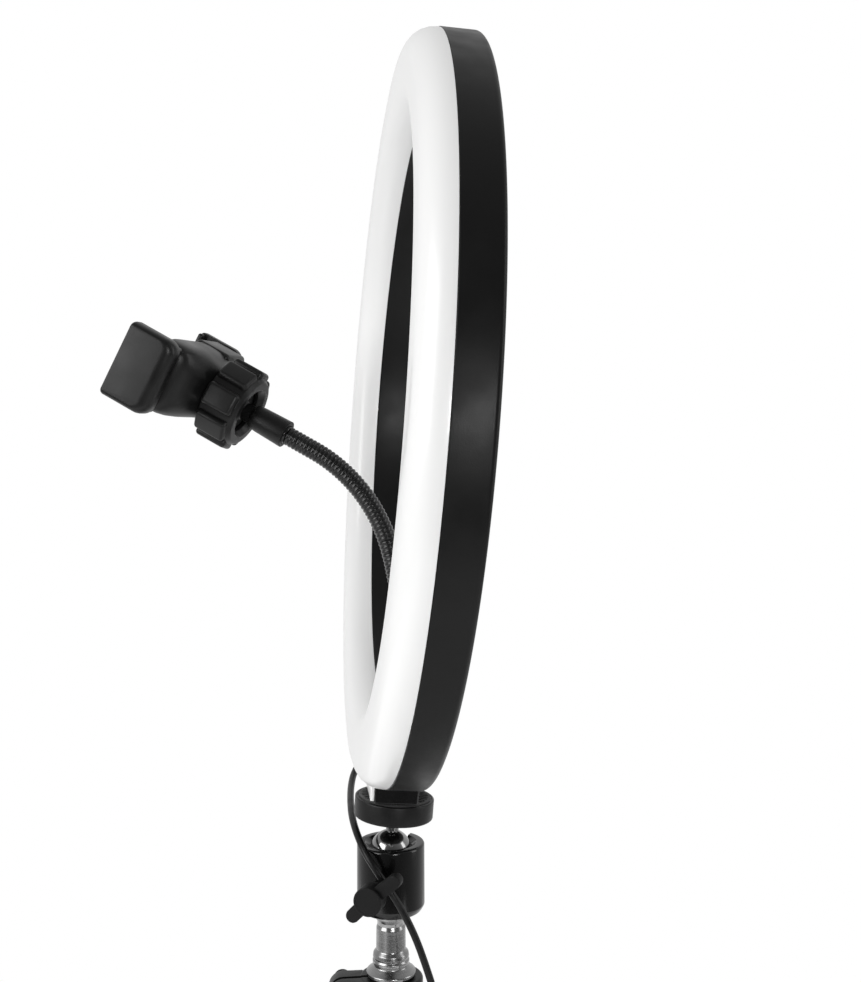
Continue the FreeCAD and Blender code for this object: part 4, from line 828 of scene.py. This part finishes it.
light_cord = [
    cord_exit, cord_exit + cord_way * 8 * MM,
    *(from_ball(*place) for place in (
        (-52.0, -6.1, 19.8), (-44.6, -10.6, 16.0), (-33, -12.5, 13.8), (-20, -13.4, 12.0), (-7, -13.6, 10.2),
        (4, -12.4, 7.4), (11.8, -9.9, 3.0), (15.3, -6.0, -2.6), (16.5, -1.4, -9.2), (16.9, 3.0, -16.8),
        (17.1, 7.1, -25.6), (16.9, 10.4, -35.0), (16.0, 13.6, -45.4), (14.6, 17.6, -58), (13.4, 24.5, -79),
        (11.5, 32, -117), (8.5, 38.5, -168), (7, 43, -224), (3.5, 45, -281), (1, 44.5, -338), (-3, 47, -394))),
    *(from_floor(*place) for place in (
        (-7, 50, 74), (-9, 54, 41), (-9.5, 58, 21), (-4.5, 62.5, 8.2), (5.5, 67, 2.6), (15.5, 69.9, 2.6))),
    controller - case_end,
]
COIL = (-25, 120)       # centre of the coil of spare cord, from the column
spare = [
    controller + case_end,
    *(from_floor(*place) for place in (
        (101, 108.4, 3.4), (110, 116.2, 1.8), (113, 127.2, 1.5), (107, 138, 1.5), (95, 145, 1.5),
        (78, 148.4, 1.5), (55, 147.8, 1.5), (31, 144.7, 1.5), (9, 140.8, 1.5),
        (COIL[0] + 12, COIL[1] + 18.2, 1.5))),
]
# the coil is wound from outside to inside and back, one layer on the next: first and last radius, height
POINTS_PER_TURN = 24
TURNS = 4
count = 0
for first, last, height in ((18.2, 10.4, 1.5), (10.4, 18.2, 4.1), (18.2, 10.4, 6.7)):
    for k in range(TURNS * POINTS_PER_TURN):
        radius = first + (last - first) * k / (TURNS * POINTS_PER_TURN)
        a = math.radians(90) + 2 * math.pi * count / POINTS_PER_TURN
        spare.append(from_floor(COIL[0] + radius * math.cos(a), COIL[1] + radius * math.sin(a), height))
        count += 1


def nurbs_object(name, points):
    curve = bpy.data.curves.new(name, "CURVE")
    curve.dimensions = "3D"
    spline = curve.splines.new("NURBS")
    spline.points.add(len(points) - 1)
    for target, point in zip(spline.points, points):
        target.co = (*point, 1)
    spline.order_u = 3
    spline.use_endpoint_u = True
    curve.resolution_u = 6
    obj = bpy.data.objects.new(name, curve)
    bpy.context.scene.collection.objects.link(obj)
    return obj


def spline_points(name, points):
    """Points along the NURBS spline of a route."""
    obj = nurbs_object(name, points)
    bpy.context.view_layer.update()
    mesh = bpy.data.meshes.new_from_object(obj.evaluated_get(bpy.context.evaluated_depsgraph_get()))
    out = [v.co.copy() for v in mesh.vertices]
    bpy.data.meshes.remove(mesh)
    bpy.data.objects.remove(obj, do_unlink=True)
    return out


def run_length(path):
    return sum((b - a).length for a, b in zip(path, path[1:]))


# the hanging cord is two pieces, because each may span only one joint of the column
whole = spline_points("route", light_cord)
split_z = ball.z - 0.20
cut_at = min(range(len(whole)), key=lambda i: abs(whole[i].z - split_z))
upper, lower = whole[:cut_at + 1], whole[cut_at:]
case_pieces = ("controller_case", "controller_board", "power_button", "brightness_rocker")
for name, path, a, b, exit_point, far, top_z, low_z, pieces in (
        ("cord_upper", upper, "top_column", "mid_column", cord_exit, "object", ball.z - 0.06, split_z + 0.01,
         ()),
        ("cord_lower", lower, "mid_column", "stand", upper[-1], "fitting", split_z - 0.01, 0.06,
         case_pieces)):
    piece = tube_object(name, path, lambda run: DIA / 2, 20)
    piece.data.materials.append(finish["pvc"])
    if name == "cord_upper":
        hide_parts("light_cord")
    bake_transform(piece)

spare_cord = nurbs_object("spare_cord", spare)
spare_cord.data.bevel_depth = DIA / 2
spare_cord.data.bevel_resolution = 4
spare_cord.data.use_fill_caps = True
spare_cord.data.materials.append(finish["pvc"])
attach(spare_cord, "stand")
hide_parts("controller_lead", "cord_coil", "plug_lead")
run_length(spline_points("measure", spare))

# --- Floor, light and camera ----------------------------------------------------------------------

# the floor glows towards its edge, so that it runs into the white behind it
FLOOR_SIZE = 1.88
bpy.ops.mesh.primitive_plane_add(size=FLOOR_SIZE, location=(0, 0, 0))
floor = bpy.context.active_object
floor.name = "floor"
ground = Shader("pale floor", (0.8, 0.8, 0.8), 0.9)
ground.vary_colour(ground.noise(3), (0.79, 0.79, 0.79), (0.81, 0.81, 0.81))
ground.bsdf.inputs["Emission Color"].default_value = (1, 1, 1, 1)
reach = ground.tree.nodes.new("ShaderNodeVectorMath")
reach.operation = "LENGTH"
ground.tree.links.new(ground.coords.outputs["Object"], reach.inputs[0])
glow = map_range(ground.tree, reach.outputs["Value"], 0.1, 0.9, 0.08, 0.55)
ground.tree.links.new(glow, ground.bsdf.inputs["Emission Strength"])
floor.data.materials.append(ground.material)

# white where the camera sees it; a room that is bright on the left and dim on the right for everything else
world = bpy.data.worlds.new("studio")
bpy.context.scene.world = world
world.use_nodes = True
sky = world.node_tree
white = sky.nodes["Background"]
white.inputs["Color"].default_value = (1, 1, 1, 1)
white.inputs["Strength"].default_value = 1.0
room = sky.nodes.new("ShaderNodeBackground")
where = sky.nodes.new("ShaderNodeTexCoord")
split = sky.nodes.new("ShaderNodeSeparateXYZ")
seen = sky.nodes.new("ShaderNodeLightPath")
choose = sky.nodes.new("ShaderNodeMixShader")
sky.links.new(where.outputs["Generated"], split.inputs["Vector"])
sky.links.new(map_range(sky, split.outputs["X"], -1, 1, 0.95, 0.1), room.inputs["Strength"])
sky.links.new(seen.outputs["Is Camera Ray"], choose.inputs["Fac"])
sky.links.new(room.outputs["Background"], choose.inputs[1])
sky.links.new(white.outputs["Background"], choose.inputs[2])
sky.links.new(choose.outputs["Shader"], sky.nodes["World Output"].inputs["Surface"])


def softbox(name, location, aim, size, power):
    light = bpy.data.lights.new(name, "AREA")
    light.shape = "RECTANGLE"
    light.size, light.size_y = size
    light.energy = power
    obj = bpy.data.objects.new(name, light)
    obj.location = location
    obj.rotation_euler = (Vector(aim) - Vector(location)).to_track_quat("-Z", "Y").to_euler()
    bpy.context.scene.collection.objects.link(obj)


centre = ring.translation
softbox("key", (0.9, -1.7, 1.3), centre, (1.5, 1.6), 30)
softbox("side", (0.3, 1.8, 0.9), centre, (0.6, 1.6), 6)
softbox("front", (1.9, 0.42, 0.70), centre, (0.5, 0.35), 10)

bpy.context.scene.view_settings.view_transform = "Standard"
bpy.context.scene.view_settings.look = "None"

AZIMUTH, PITCH = math.radians(83.17), math.radians(4.5)
EYE = (462.8, -44.55, 9.09)         # from the ring's centre
camera = bpy.data.cameras.new("camera")
camera.lens = 48.1
camera.sensor_width = 36
camera.clip_start = 0.02
camera.dof.use_dof = False
back = Vector((math.sin(AZIMUTH) * math.cos(PITCH), -math.cos(AZIMUTH) * math.cos(PITCH), math.sin(PITCH)))
right = Vector((math.cos(AZIMUTH), math.sin(AZIMUTH), 0))
eye = bpy.data.objects.new("camera", camera)
eye.matrix_world = axes(right, back.cross(right), back, centre + Vector(EYE) * MM)
bpy.context.scene.collection.objects.link(eye)
bpy.context.scene.camera = eye
